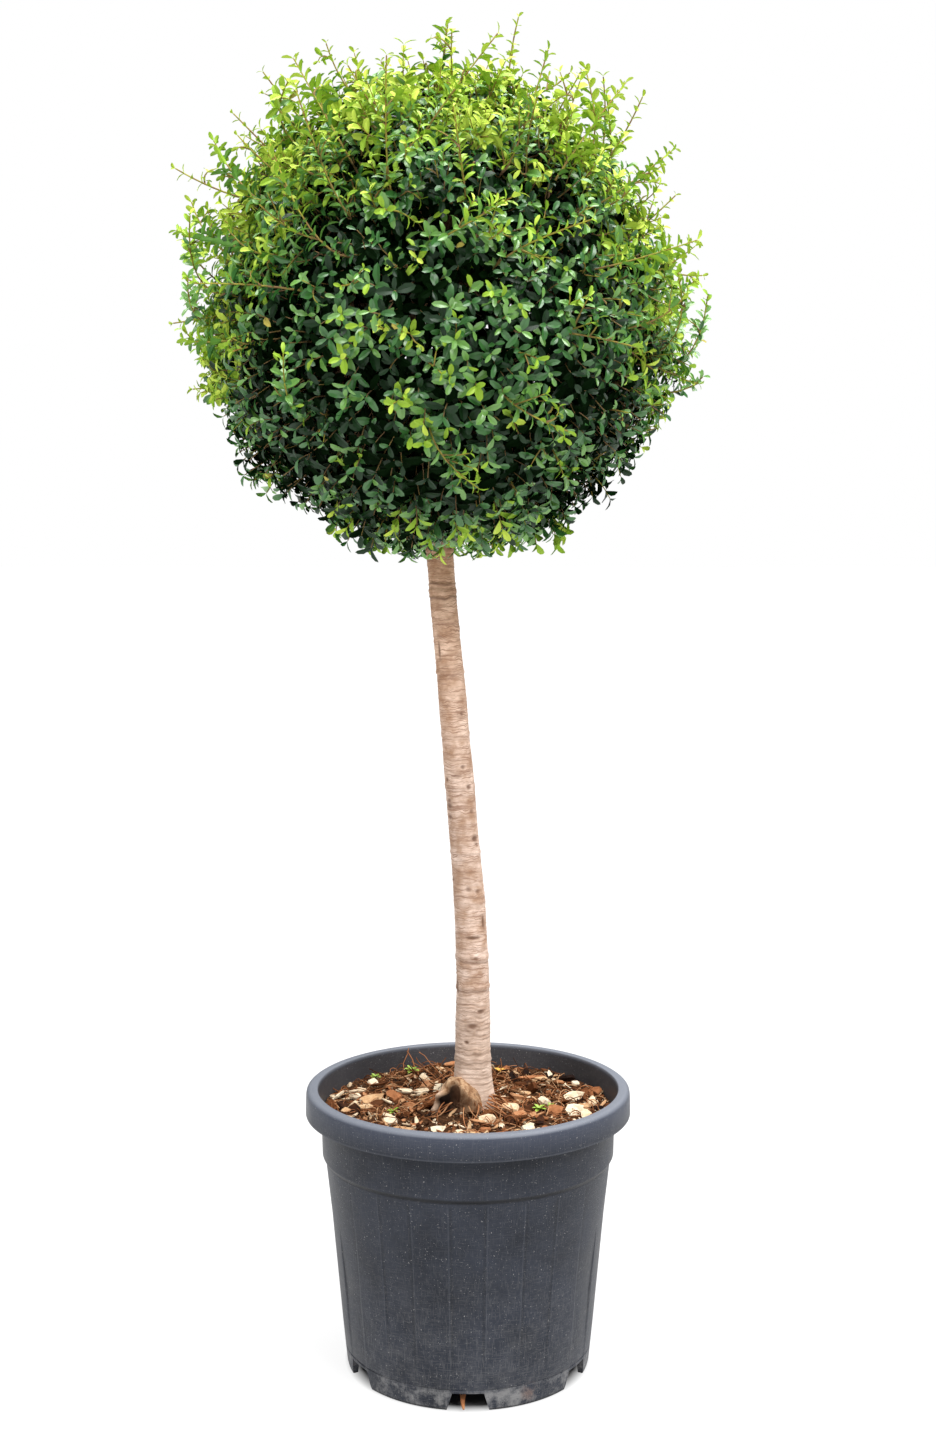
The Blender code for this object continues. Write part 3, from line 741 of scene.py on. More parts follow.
def pot_plastic(settings):
    """Satin blue-grey plastic: moulding mottle, fine scratches, specks, dust low down and scuffs, with
    painted light on the rim, the lip and the flutes' edges, and painted shade in the creases.
    """
    finish = Finish("satin_pot_plastic", settings.plastic, 0.44, Specular_IOR_Level=0.22)
    place = finish.place()
    x, y, z = finish.axes(place)
    top = settings.height
    clean = np.array(settings.plastic)
    dust = settings.dust
    mottle = finish.noise(place, 17.0, 7.0, 0.62)
    finish.colour = finish.mixed(finish.ramp(mottle, 0.34, 0.68), 0.72 * clean, 1.28 * clean + 0.003)
    # painted light: the rim band grows lighter towards the lip, with a painted highlight along the lip
    # and a thin one along the skirt's lower edge
    at_rim = finish.ramp(z, SKIRT_BOTTOM - 0.002, SKIRT_BOTTOM + 0.004)
    lit_rim = finish.mixed(finish.ramp(z, SKIRT_BOTTOM, top), clean, (0.062, 0.071, 0.1))
    finish.coat(lit_rim, at_rim, 0.8)
    finish.coat((0.21, 0.225, 0.26), finish.ramp(z, top - 0.004, top - 0.0003), 0.8)
    off = finish.gap(z, SKIRT_BOTTOM + 0.0008)
    finish.coat((0.13, 0.14, 0.17), finish.ramp(off, 0.0016, 0.0004), 0.3)
    away = finish.vector("LENGTH", finish.vector("MULTIPLY", place, (1.0, 1.0, 0.0)))
    finish.coat((0.046, 0.043, 0.045), finish.ramp(away, 0.1735, 0.17),
                finish.ramp(z, SKIRT_BOTTOM, SKIRT_BOTTOM + 0.002),
                finish.ramp(z, top - 0.001, top - 0.005), 0.85)
    # the flutes' edges: a painted highlight along each, with a line of painted shade beside it
    angle = finish.math("ARCTAN2", x, finish.times(y, -1.0))
    fold = finish.times(angle, settings.flutes / TAU)
    fold = finish.gap(fold, finish.math("ROUND", fold))
    body = finish.times(finish.ramp(z, FOOT_RING + 0.004, 0.08),
                        finish.ramp(z, BODY_TOP, BODY_TOP - 0.004))
    for edge, reach, amount, tint in ((0.252, 0.013, 0.2, (0.11, 0.118, 0.14)),
                                      (0.222, 0.034, 0.3, (0.008, 0.009, 0.012))):
        line = finish.ramp(finish.gap(fold, edge), reach, reach * 0.2)
        finish.coat(tint, line, body, amount)
    # short fine scratches every way, more of them towards the foot
    low = finish.ramp(z, 0.175, 0.01)
    upright = finish.streaks(place, 900.0, 60.0, 5.5)
    level = finish.streaks(place, 90.0, 1500.0, 6.0)
    drawn = finish.math("MAXIMUM", finish.ramp(upright, 0.86, 1.0), finish.ramp(level, 0.93, 1.0))
    finish.coat(dust, drawn, finish.scaled(low, 0.07, 0.035))
    # dust that has settled in clouds, scuffs round the foot ring, and specks
    patch = finish.noise(place, 42.0, 8.0, 0.72)
    dusty = finish.times(finish.ramp(patch, 0.44, 0.8), low, 0.12)
    finish.coat(dust, dusty)
    finish.coat(dust, finish.ramp(patch, 0.47, 0.62),
                finish.ramp(z, FOOT_RING + 0.001, FOOT_RING - 0.004), 0.36)
    finish.coat(dust, finish.speckle(place, 640.0, 0.33, 0.03), 0.7)
    # painted shade in the crease under the collar, under the skirt, and where the pot stands
    outside = finish.minus(1.0, at_rim)
    for crease, reach, amount in ((COLLAR_BOTTOM - 0.003, 0.0036, 0.8),
                                  (SKIRT_BOTTOM - 0.001, 0.005, 0.45), (0.0, 0.003, 0.85)):
        line = finish.ramp(finish.gap(z, crease), reach, reach * 0.35)
        finish.coat((0.006, 0.006, 0.007), line, amount, outside)
    # a brown smear on the foot, right of the front notch
    spot = finish.vector("DISTANCE", place, (0.066, -0.122, 0.014))
    finish.coat((0.18, 0.08, 0.045), finish.ramp(spot, 0.013, 0.003),
                finish.ramp(patch, 0.46, 0.56), 0.45)
    rough = finish.scaled(finish.ramp(mottle, 0.3, 0.7), 0.14, 0.38)
    rough = finish.scaled(dusty, 0.8, rough)
    height = finish.scaled(drawn, 0.4, mottle)
    return finish.done((height, 0.22, 0.0005), Roughness=rough)


class TOPIARY_OT_pot(bpy.types.Operator):
    """Turn the nursery pot from its section, with flutes, foot notches and drain holes"""
    bl_idname = "topiary.pot"
    bl_label = "Nursery Pot"

    def execute(self, context):
        settings = context.scene.topiary_pot
        points, depth = pot_section(settings)
        pot = wires("nursery_pot", points[None], flute_depth=depth[None])
        grown(pot, turned_wall_tree(), sides=POT_SIDES, flutes=settings.flutes,
              notches=settings.notches, notch_radius=settings.foot, notch_width=NOTCH_WIDTHS[0],
              notch_height=NOTCH_HEIGHT, notch_taper=1 - NOTCH_WIDTHS[1] / NOTCH_WIDTHS[0],
              material=pot_plastic(settings))
        if len(pot.data.polygons) < POT_SIDES:
            raise RuntimeError("the pot's wall came out empty")
        settle(pot, "pot_plastic", "pot")
        return {"FINISHED"}


# ---- the trunk
# marks in the bark, in millimetres: height, bearing in degrees from the front towards +X, height and
# width of the mark, how far it stands proud (or is sunk), and how brown it is
BARK_MARKS = (
    (727.8, 34, 6, 5.5, 1.2, 0.55), (727.8, 34, 2.2, 2, -1.2, 0.9), (633.5, -52, 7, 6, 1.4, 0.45),
    (633.5, -50, 2, 2.6, -1.2, 0.9), (592, 52, 8, 6, 1.3, 0.25), (498.9, 54, 7, 2.2, -1.8, 1),
    (500, 54, 11, 6, 1, 0.35), (487.1, 8, 6, 8.5, 1.6, 0.1), (482.2, 8, 1.6, 8, -1.2, 0.95),
    (460.5, 12, 5.2, 6, 1.2, 0.35), (460, 13, 1.8, 2.6, -1, 0.85), (426.7, -64, 7.5, 2.4, -1.8, 1),
    (430, -60, 10, 7, 1.2, 0.3), (400, 26, 6.2, 8, 1.4, 0.6), (400, 27, 2.2, 4.2, -1.6, 1),
    (383.8, -2, 8, 8.5, 1.6, 0.8), (384.2, -2, 3.2, 5, -1.4, 1), (365.5, -23, 2, 2.6, -1.6, 1),
    (354.5, 14, 4.5, 5, 1, 0.65), (797.1, -41, 9, 1.4, -1.4, 0.95), (690, 160, 7, 6.5, 1.4, 0.55),
    (688, 161, 2.4, 2.6, -1.3, 1), (545, -140, 8, 7, 1.5, 0.5), (545, -139, 2.4, 3.4, -1.4, 1),
    (440, 130, 7, 8, 1.6, 0.6), (439.6, 131, 2.2, 4, -1.4, 1), (820, 110, 6, 5, 1.1, 0.5),
    (370, -170, 8, 8, 1.5, 0.75), (610, 20, 3, 5, 0.6, 0.25), (555, -20, 3, 6, 0.7, 0.2),
    (660, -10, 1.6, 6, -0.5, 0.6), (591, 46, 3.4, 4.2, -2.6, 1), (585, 50, 1.6, 2, -1, 0.8),
    (656, -62, 2.2, 2.2, -1, 1), (648, 38, 2.6, 2.8, -1.2, 0.9), (627.5, -57, 3.4, 4.2, -1.2, 0.9),
    (615, -58, 2.8, 3.6, -1, 0.9), (621, 42, 2.4, 2.6, -0.8, 0.7), (546, -72, 3, 2.6, -1, 0.9),
    (536, 0, 2.4, 3, -0.8, 0.8), (533, 38, 2.4, 3.2, -0.8, 0.7), (670, 20, 2.2, 2.4, -0.8, 0.8),
)
# old growth collars right round the stem, in millimetres: height, rise, how brown, and how tall
COLLARS = (
    (867.4, 0.6, 0.75, 1.1), (860, 0.9, 0.1, 3), (853.4, 0.5, 0.85, 1.3), (773.6, 0.8, 0.15, 2.2),
    (770, -0.3, 0.35, 1), (705, 0.5, 0.12, 2.2), (648, 0.5, 0.18, 2.6), (575, 0.6, 0.15, 2.4),
    (520, 0.5, 0.2, 2), (459.1, 0.9, 0.2, 2.6), (454.8, -0.3, 0.45, 1.2), (425.4, 0.9, 0.22, 2.6),
    (421.5, -0.3, 0.45, 1.2), (905, 0.8, 0.25, 3), (345, 0.8, 0.25, 3),
)


def trunk_axis(heights):
    """The middle line of the trunk at each height."""
    share = np.clip((heights - BEND[0]) / (BEND[1] - BEND[0]), 0.0, 1.0)
    run = (BEND[1] - BEND[0]) * (share ** 3 - share ** 4 / 2)
    run = run + np.clip(heights - BEND[1], 0.0, None)
    return np.stack((TRUNK_FOOT[0] + TRUNK_LEAN[0] * run,
                     TRUNK_FOOT[1] + TRUNK_LEAN[1] * run, heights), axis=-1)


def trunk_radius(heights):
    share = np.clip((heights - SOIL_TOP) / (TRUNK_TOP - SOIL_TOP), 0.0, 1.0)
    return TRUNK_RADII[1] + (TRUNK_RADII[0] - TRUNK_RADII[1]) * (1 - share) ** TAPER_POWER


def trunk_skin(settings):
    """Ring points of the bark with its relief, and what the finish reads at each of them."""
    rng = default_rng(41)
    rise = shares(settings.rings)
    heights = SOIL_TOP - 0.016 + (TRUNK_TOP + 0.012 - SOIL_TOP) * rise
    turn = np.linspace(0, TAU, settings.sides, endpoint=False)
    z, angle = np.meshgrid(heights, turn, indexing="ij")
    from_x = angle - math.pi / 2  # the angle itself is from the front
    closing = np.clip((TRUNK_TOP - z) / 0.01, 0.0, 1.0)
    radius = trunk_radius(z) * (1 - 0.45 * (1 - np.sqrt(closing)))
    lobes = 1 + 0.25 * np.cos(4 * from_x + 0.9) + 0.14 * np.cos(7 * from_x + 2.1)
    flare = FLARE * lobes * np.exp(-np.clip((z - SOIL_TOP) / FLARE_HEIGHT, 0.0, None))
    out = level_ways(from_x)
    place = trunk_axis(z) + out * radius[..., None]

    # growth rings part of the way round, and many short dashes, most of them low down
    level = z + 0.0026 * bumps(place, (0.0095, 0.0095, 0.026), 17.0)
    rings = np.zeros_like(z)
    dark = np.zeros_like(z)
    height = SOIL_TOP
    while height < TRUNK_TOP:
        height += rng.uniform(0.0026, 0.0074)
        width = rng.uniform(0.00045, 0.0011)
        start, reach = rng.uniform(0, TAU), rng.uniform(0.8, 3.1)
        part = smooth(1.5 - np.abs(wrapped(angle - start)) / reach)
        line = bell((level - height) / width) * part
        rings -= rng.uniform(0.5, 1.2) * line
        rings += 0.7 * bell((level - height - 2.2 * width) / (1.6 * width)) * part
        dark += rng.uniform(0.1, 0.75) * line
    for top, count in ((TRUNK_TOP, 560), (0.42, 200)):
        for _ in range(count):
            spot, start = rng.uniform(SOIL_TOP, top), rng.uniform(0, TAU)
            reach, width = rng.uniform(0.06, 0.3), rng.uniform(0.0004, 0.0008)
            rows = slice(*np.searchsorted(heights, (spot - 0.006, spot + 0.006)))
            dash = bell((level[rows] - spot) / width) * bell(wrapped(angle[rows] - start) / reach)
            rings[rows] += rng.choice((-1.2, 1.0)) * dash
            dark[rows] += rng.uniform(0.2, 0.9) * dash
    relief = settings.relief * (0.35 * bumps(place, (0.0042, 0.0042, 0.0075), 9.0) + rings)
    relief += 0.0011 * bumps(place, (0.02, 0.02, 0.055), 3.0)

    brown = np.zeros_like(z)
    for spot, lift, colour, width in np.array(COLLARS) * (MM, MM, 1.0, MM):
        ring = bell((level - spot) / width)
        relief += lift * ring
        brown += colour * ring
    marks = np.array(BARK_MARKS) * (MM, 1.0, MM, MM, MM, 1.0)
    for spot, degrees, tall, wide, lift, colour in marks:
        around = wrapped(angle - math.radians(degrees))
        reach = ((z - spot) / tall) ** 2 + (around * radius / wide) ** 2
        mark = np.exp(-1.6 * reach) if lift > 0.0 else bell(0.9 * reach)
        relief += lift * mark
        if lift > 0.0:  # a raised mark's colour gathers at its rim
            mark = 0.35 * bell((np.sqrt(reach) - 0.8) / 0.3)
        brown += colour * mark
    foot = smooth((SOIL_TOP + 0.03 - z) / 0.03)
    relief += foot * 0.0016 * bumps(place, (0.006, 0.006, 0.016), 23.0)
    relief += 0.0014 * smooth((z - 0.905) / 0.03) * bumps(place, 0.012, 29.0)
    place = place + out * (flare + relief)[..., None]
    return place, {"ring": np.clip(dark, 0, 1), "scar": np.clip(brown, 0, 1), "foot": foot}


def bark_finish(settings, name, stem=True):
    """Smooth pale bark: ring lines, freckles, brown scars, grime near the soil, and painted light that
    makes the stem paler low down.
    """
    finish = Finish(name, settings.bark, 0.62)
    place = finish.place()
    pale = np.array(settings.bark) * (1.0 if stem else 0.42)
    scar = settings.scar
    pink = np.minimum(1.0, pale * (1.3, 1.36, 1.48))
    tan = pale * (0.58, 0.46, 0.37)
    cloud = finish.noise(place, 55.0, 5.0, 0.6)
    finish.colour = finish.mixed(finish.ramp(cloud, 0.34, 0.68), tan, pink)
    sway = finish.times(finish.minus(finish.noise(place, 95.0, 2.0), 0.5), 0.0075)
    wavy = finish.vector("ADD", place, finish.xyz(z=sway))
    grain = finish.streaks(wavy, 70.0, 900.0, 2.6)
    finish.coat(tan, grain, 0.36)
    lines = finish.ramp(finish.streaks(wavy, 40.0, 1250.0, 5.0), 0.68, 0.96)
    finish.coat((0.27, 0.14, 0.082), lines, 0.8 if stem else 0.2)
    finish.coat(scar, finish.speckle(place, 900.0, 0.3, 0.06), 0.42)
    if stem:
        height = finish.axes(place)["Z"]
        # painted light: the stem paler towards its foot
        finish.coat((0.9, 0.73, 0.6), finish.ramp(height, 0.44, 0.33), 0.42)
        amber = finish.mixed(1.0, finish.colour, (1.0, 0.8, 0.58), "MULTIPLY")
        finish.coat(amber, finish.ramp(height, 0.64, 0.92), 0.85)
        for mark, amount, tint in (("ring", 0.78, (0.3, 0.17, 0.105)), ("scar", 0.88, scar),
                                   ("foot", 0.28, (0.36, 0.215, 0.135))):
            finish.coat(tint, finish.mark(mark), amount)
    return finish.done((finish.scaled(grain, 0.6, cloud), 0.35, 0.0005))


class TOPIARY_OT_trunk(bpy.types.Operator):
    """Shape the clear stem with its growth rings, knots, nicks and flared foot"""
    bl_idname = "topiary.trunk"
    bl_label = "Trunk"

    def execute(self, context):
        settings = context.scene.topiary_trunk
        points, marks = trunk_skin(settings)
        trunk = skin("clear_stem", points, bark_finish(settings, "smooth_bark"), **marks)
        settle(trunk, "bark", "trunk")
        return {"FINISHED"}


# ---- the head: its outline and framework, read from the solids
BOUGH_RADII = (0.0054, 0.003)
LIMB_RADII = (0.003, 0.0018)
BRANCH_RADII = (0.0018, 0.0011)
SHOOT_RADII = (0.0012, 0.00055)
LONG_SHOOT_RADII = (0.0013, 0.0008)
TWIG_SIDES = {LIMB_RADII: 6, BRANCH_RADII: 4}  # three for the shoots
LIMBS = 96
BRANCHES = 440
INNER_SHOOTS = 1750
HANGING_SHOOTS = 90
LOWEST = -0.975  # no shoot points further down than this, where the stem comes in
# sprays that arch over the foliage: where each comes out of it and where its tip is, both as a
# bearing from the front towards +X and a height above the head's middle, in degrees, and the reach
ARCHING_SPRAYS = (
    ((-2, 4), (15, 13), 0.284), ((11, 3), (30, 9), 0.284), ((35, 0), (64, 9), 0.286),
    ((15, -28), (31, -32), 0.28), ((-27, 0), (-40, 26), 0.282), ((-35, -2), (-60, 0), 0.282),
    ((-46, 6), (-78, 13), 0.288), ((-13, 17), (-15, 46), 0.286), ((30, 24), (64, 45), 0.29),
    ((6, 15), (3, 32), 0.28), ((-26, 16), (-38, 38), 0.286), ((28, -12), (44, -14), 0.28),
    ((-6, -36), (11, -47), 0.276), ((-42, -33), (-34, -16), 0.278), ((43, 17), (68, 29), 0.288),
    ((-56, -13), (-72, -10), 0.282), ((19, 25), (34, 50), 0.288), ((53, -11), (60, -2), 0.28),
    ((-4, 34), (20, 56), 0.286), ((-30, 34), (-52, 50), 0.29), ((-60, 20), (-84, 34), 0.29),
)
FURTHER_SPRAYS = 46  # the same, drawn at random round the sides and the back
SPRAY_LIFT = 0.0052  # how much the sprays stand out or sit back from the outline
SPRAY_TONE = 0.62  # how much lighter or darker one spray is than the next


def node_points(name):
    """The corners of a solid, each once."""
    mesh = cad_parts[name].data
    places = np.empty(len(mesh.vertices) * 3)
    mesh.vertices.foreach_get("co", places)
    return np.unique(np.round(places.reshape(-1, 3), 6), axis=0)


def middle_line(name):
    """The middle line of a bough, from the ring points of its solid, root end first."""
    points = node_points(name)
    root = points[np.argmin(points[:, 2])]
    gaps = norm(points - root, axis=1)
    near = gaps < 0.03  # the root, which the trunk trims
    rings = points[~near][np.argsort(gaps[~near])].reshape(-1, 6, 3).mean(axis=1)
    line = np.concatenate((points[near].mean(axis=0)[None], rings))
    return along(line, shares(9))[0]


def along(line, t):
    """Points on a line of points at shares t of its run, and the directions there."""
    step = np.clip(np.asarray(t, dtype=float), 0, 1) * (len(line) - 1)
    low = np.minimum(step.astype(int), len(line) - 2)
    part = (step - low)[..., None]
    return line[low] * (1 - part) + line[low + 1] * part, unit(line[low + 1] - line[low])


def along_each(lines, places):
    """A point on each line at its own share of the run, and the direction there."""
    rows = [along(line, t) for line, t in zip(lines, places)]
    return np.array([row[0] for row in rows]), np.array([row[1] for row in rows])


def spread(count, jitter, rng):
    """Directions evenly over the whole sphere, each a little off its place."""
    step = np.arange(count) + 0.5
    z = 1.0 - 2 * step / count
    even = level_ways(GOLDEN * step) * np.sqrt(1 - z * z)[:, None] + UP * z[:, None]
    return unit(even + rng.normal(0, jitter * math.sqrt(4 * math.pi / count), even.shape))


class Outline:
    """How far the clipped foliage reaches in any direction from the head's centre."""

    def __init__(self):
        points = np.concatenate([node_points(name) for name in MASSES]) - HEAD_CENTRE
        reach = norm(points, axis=1)
        outer = reach > 0.225
        self.directions = unit(points[outer])
        self.reach = reach[outer]
        near = self.directions @ self.directions.T > math.cos(math.radians(8.0))
        highest = self.reach >= np.where(near, self.reach, 0.0).max(axis=1) - 1e-9
        tip = highest & (self.reach > self(self.directions) + 0.007)
        self.tip_directions = self.directions[tip]
        self.tip_reach = self.reach[tip]
        self.hearts = unit(np.array([node_points(name).mean(axis=0) for name in MASSES])
                           - HEAD_CENTRE)

    def __call__(self, directions):
        closeness = np.exp((directions @ self.directions.T - 1) / 0.007)
        return closeness @ self.reach / closeness.sum(axis=1)

    def mass(self, directions):
        """The number of the mass that each direction belongs to."""
        return np.argmax(directions @ self.hearts.T, axis=1)


def bends(start, middle, end, steps):
    """Smooth bends from start to end that leave and arrive towards the middle points."""
    t = shares(steps)[None, :, None]
    return start[:, None] * (1 - t) ** 2 + middle[:, None] * 2 * t * (1 - t) + end[:, None] * t * t


def children(parents, ends, lead, low, rng, steps, last_bend=None):
    """Grow a line to each end from the parent that ends nearest; one goes on from its tip.

    lead is how far a child keeps its parent's way, low how far back it may start, and last_bend
    the direction in which it arrives, if it matters.
    """
    gaps = norm(ends[:, None] - parents[None, :, -1], axis=-1)
    chosen = np.argmin(gaps, axis=1)
    share = rng.uniform(low, 0.97, len(ends))
    for parent in np.unique(chosen):
        members = np.flatnonzero(chosen == parent)
        share[members[np.argmin(gaps[members, parent])]] = 1.0
    starts, headings = along_each(parents[chosen], share)
    length = norm(ends - starts, axis=1)[:, None]
    middle = starts + headings * length * lead
    if last_bend is not None:
        middle = 0.25 * middle + 0.75 * (ends - last_bend * length * 0.5)
    return bends(starts, middle, ends, steps)


def thinning(radii, lines):
    """Thickness along lines, from the first radius to the second."""
    return np.broadcast_to(np.linspace(*radii, lines.shape[1]), lines.shape[:2])


def facing(degrees):
    """Directions from bearings, from the front towards +X, and heights above the level."""
    turn, rise = np.radians(degrees).T
    return ways_from_below(turn - math.pi / 2, rise + math.pi / 2)


class Framework:
    """The limbs, branches and shoots of the head, as lines of points, grown by one seeded rule."""

    def __init__(self, settings):
        self.rng = rng = default_rng(settings.seed)
        self.outline = Outline()
        self.settings = settings
        boughs = np.array([middle_line(name) for name in BOUGHS])
        ways = spread(LIMBS, 0.22, rng)
        ends = HEAD_CENTRE + ways * rng.uniform(0.15, 0.176, LIMBS)[:, None]
        self.limbs = children(boughs, ends, 0.5, 0.62, rng, 9)
        ways = self.ways(BRANCHES, 0.22)
        reach = self.outline(ways) * rng.uniform(0.76, 0.85, len(ways))
        ends = HEAD_CENTRE + ways * reach[:, None]
        self.branches = children(self.limbs, ends, 0.42, 0.45, rng, 8)
        self.spray_lift = rng.normal(0, SPRAY_LIFT, len(self.branches))
        self.spray_tone = rng.normal(0, SPRAY_TONE, len(self.branches))
        young, long = self.young_shoots(rng), self.long_shoots()
        self.kinds = [
            self.clipped_shoots(rng), self.inner_shoots(rng), young, long,
            self.side_shoots(long, 1, rng), self.side_shoots(young, 1, rng),
            self.hanging_shoots(rng),
        ]
        arching = self.arching_shoots(rng)
        self.kinds += [arching, self.side_shoots(arching, 2, rng)]

    def ways(self, count, jitter):
        """Directions all round, clear of the stem."""
        ways = spread(count, jitter, self.rng)
        return ways[ways[:, 2] > LOWEST]

    def sunk(self, ways):
        """How far the dense foliage lies inside the outline, which only the longest shoots reach."""
        return 0.008 + 0.028 * smooth((ways[:, 2] + 0.25) / 0.5)

    def sprays(self, ways):
        """The branch whose spray each direction belongs to."""
        return np.argmax(ways @ unit(self.branches[:, -1] - HEAD_CENTRE).T, axis=1)

    def tone_of(self, ways, base, scatter, gain=1.0):
        """How light the leaves of a shoot are: lighter towards the top, from fresh growth and painted
        light, with painted light at the two sides as seen from the front and painted shade low down.
        """
        top = smooth((ways[:, 2] - 0.22) / 0.68)
        pole = smooth((ways[:, 2] - 0.72) / 0.24)
        side = smooth((np.abs(ways[:, 0]) - 0.6) / 0.37)
        side = side * (1 - 0.5 * smooth((ways[:, 1] + 0.05) / 0.5))
        low = smooth((-0.15 - ways[:, 2]) / 0.6)
        # painted light on the top and at the two sides, painted shade low down
        lit = 2.45 * top * (1 - 0.36 * pole) + 2.2 * side * (1 - top) * (1 - low)
        value = base + gain * lit - 0.7 * low + self.spray_tone[self.sprays(ways)]
        return value + self.rng.normal(0, scatter, len(ways))

    def shoots(self, ways, proud, upward, low=0.35, steps=7, wander=0.16):
        """Shoots out to the clipped outline plus proud, that turn upwards at their ends."""
        reach = self.outline(ways) + proud + self.spray_lift[self.sprays(ways)]
        ends = HEAD_CENTRE + ways * reach[:, None]
        upward = np.broadcast_to(upward, len(ways))[:, None]
        heading = unit(ways + UP * upward + self.rng.normal(0, wander, ways.shape))
        return children(self.branches, ends, 0.4, low, self.rng, steps, heading)

    def drawn(self, ends, count):
        """A value for each shoot, drawn between two ends, or one for all."""
        return self.rng.uniform(*ends, count) if isinstance(ends, tuple) else np.full(count, ends)

    def kind(self, ways, lines, leaf, size, gap, tone, opening, run, fresh=1.0, darkening=0.5,
             fine=1, radii=SHOOT_RADII, pair_gap=None):
        """One kind of shoot and its leaves; size and gap are to the full leaf and pair_gap.

        opening is how far leaves stand open, run how much of a shoot has them, and darkening how
        much darker they are back along it, in part as painted shade.
        """
        count = len(ways)
        pair_gap = self.settings.pair_gap if pair_gap is None else pair_gap
        leaves = {
            "size": leaf * self.drawn(size, count), "gap": pair_gap * self.drawn(gap, count),
            "tone": tone() if callable(tone) else self.tone_of(ways, *tone),
            "opening": self.drawn(opening, count), "fine": np.full(count, fine),
            "darkening": np.full(count, darkening)}
        return {"ways": ways, "lines": lines, "run": self.drawn(run, count), "fresh": fresh,
                "radii": radii, "leaves": leaves}

    def clipped_shoots(self, rng):
        """The many shoots that end at the outline in rosettes of full-grown leaves."""
        ways = self.ways(self.settings.shoots, 0.34)
        count = len(ways)
        top = smooth((ways[:, 2] - 0.25) / 0.6)
        low = smooth((-0.2 - ways[:, 2]) / 0.6)
        proud = rng.normal(-0.001, 0.0055, count) - self.sunk(ways)
        upward = 0.05 + 0.75 * smooth((ways[:, 2] + 0.1) / 0.9) - 0.1 * low
        return self.kind(
            ways, self.shoots(ways, proud, upward, wander=0.24),
            self.settings.leaf * (1 - 0.14 * top + 0.14 * low), (0.86, 1.1), (0.88, 1.18),
            (1.38, 0.8), (0.86, 1.12), (0.032, 0.044), 0.25 + 0.5 * top, 1.5 + 0.5 * top)

    def inner_shoots(self, rng):
        """Shorter shoots below the outline, with old leaves, their dark tone in part painted shade."""
        ways = self.ways(INNER_SHOOTS, 0.35)
        count = len(ways)
        proud = rng.uniform(-0.062, -0.026, count) - 0.75 * self.sunk(ways)
        return self.kind(ways, self.shoots(ways, proud, 0.1, 0.2, 5), self.settings.leaf, (0.95, 1.15),
                         1.25, (-0.55, 0.3, 0.4), (0.9, 1.3), (0.036, 0.05), 0.1, 1.5, fine=0)

    def young_shoots(self, rng):
        """Fresh shoots that stand past the outline, most of them on the upper half."""
        ways = spread(self.settings.young_shoots * 4, 0.5, rng)
        side = smooth((np.abs(ways[:, 0]) - 0.55) / 0.4)
        chance = 0.08 + 0.62 * smooth((ways[:, 2] + 0.05) / 0.75) + 0.25 * side
        ways = ways[(rng.random(len(ways)) < chance) & (ways[:, 2] > -0.9)]
        ways = ways[rng.permutation(len(ways))[:self.settings.young_shoots]]
        count = len(ways)
        top = smooth((ways[:, 2] + 0.1) / 0.8)
        proud = rng.uniform(0.002, 0.014, count) - self.sunk(ways) * (1 - rng.random(count) ** 6)
        return self.kind(
            ways, self.shoots(ways, proud, 0.1 + 0.75 * top, 0.5, 8, 0.3), self.settings.young_leaf,
            (0.9, 1.22), (0.92, 1.2), (2.5, 0.9), (0.75, 1.02), (0.045, 0.066), darkening=1.2)

    def long_shoots(self):
        """The shoots that stand out of the outline, at the tips that the solids have."""
        ways = self.outline.tip_directions
        lift = self.spray_lift[self.sprays(ways)]
        proud = self.outline.tip_reach - self.outline(ways) - 0.003 - lift
        upward = np.where(ways[:, 2] > -0.2, 0.24, 0.05)
        return self.kind(
            ways, self.shoots(ways, proud, upward, 0.6, 9, 0.1), self.settings.young_leaf,
            (0.66, 0.86), (1.0, 1.25), (2.9, 0.35), (0.7, 0.95), (0.085, 0.11),
            radii=LONG_SHOOT_RADII)

    def arching_shoots(self, rng):
        """Long fresh sprays that arch up over the foliage, the same all round the head."""
        rows = list(ARCHING_SPRAYS)
        for _ in range(FURTHER_SPRAYS):
            bearing, height = rng.uniform(75.0, 285.0), rng.uniform(-25.0, 50.0)
            swing, climb = rng.choice((-1.0, 1.0)) * rng.uniform(8.0, 26.0), rng.uniform(2.0, 22.0)
            rows.append(((bearing, height), (bearing + swing, height + climb),
                         rng.uniform(0.276, 0.288)))
        begin, ways, reach = (np.array(column) for column in zip(*rows))
        begin, ways = facing(begin), facing(ways)
        starts = self.branches[self.sprays(begin), -1]
        middle = HEAD_CENTRE + begin * (self.outline(begin) + 0.026 - self.sunk(begin))[:, None]

        def tone():
            return rng.normal(2.6, 0.3, len(ways)) + 1.2 * smooth((ways[:, 2] + 0.2) / 0.6)

        return self.kind(
            ways, bends(starts, middle, HEAD_CENTRE + ways * reach[:, None], 10),
            self.settings.young_leaf, (0.84, 1.02), (0.86, 1.04), tone, (0.66, 0.92), (0.16, 0.2),
            darkening=0.6, radii=LONG_SHOOT_RADII)

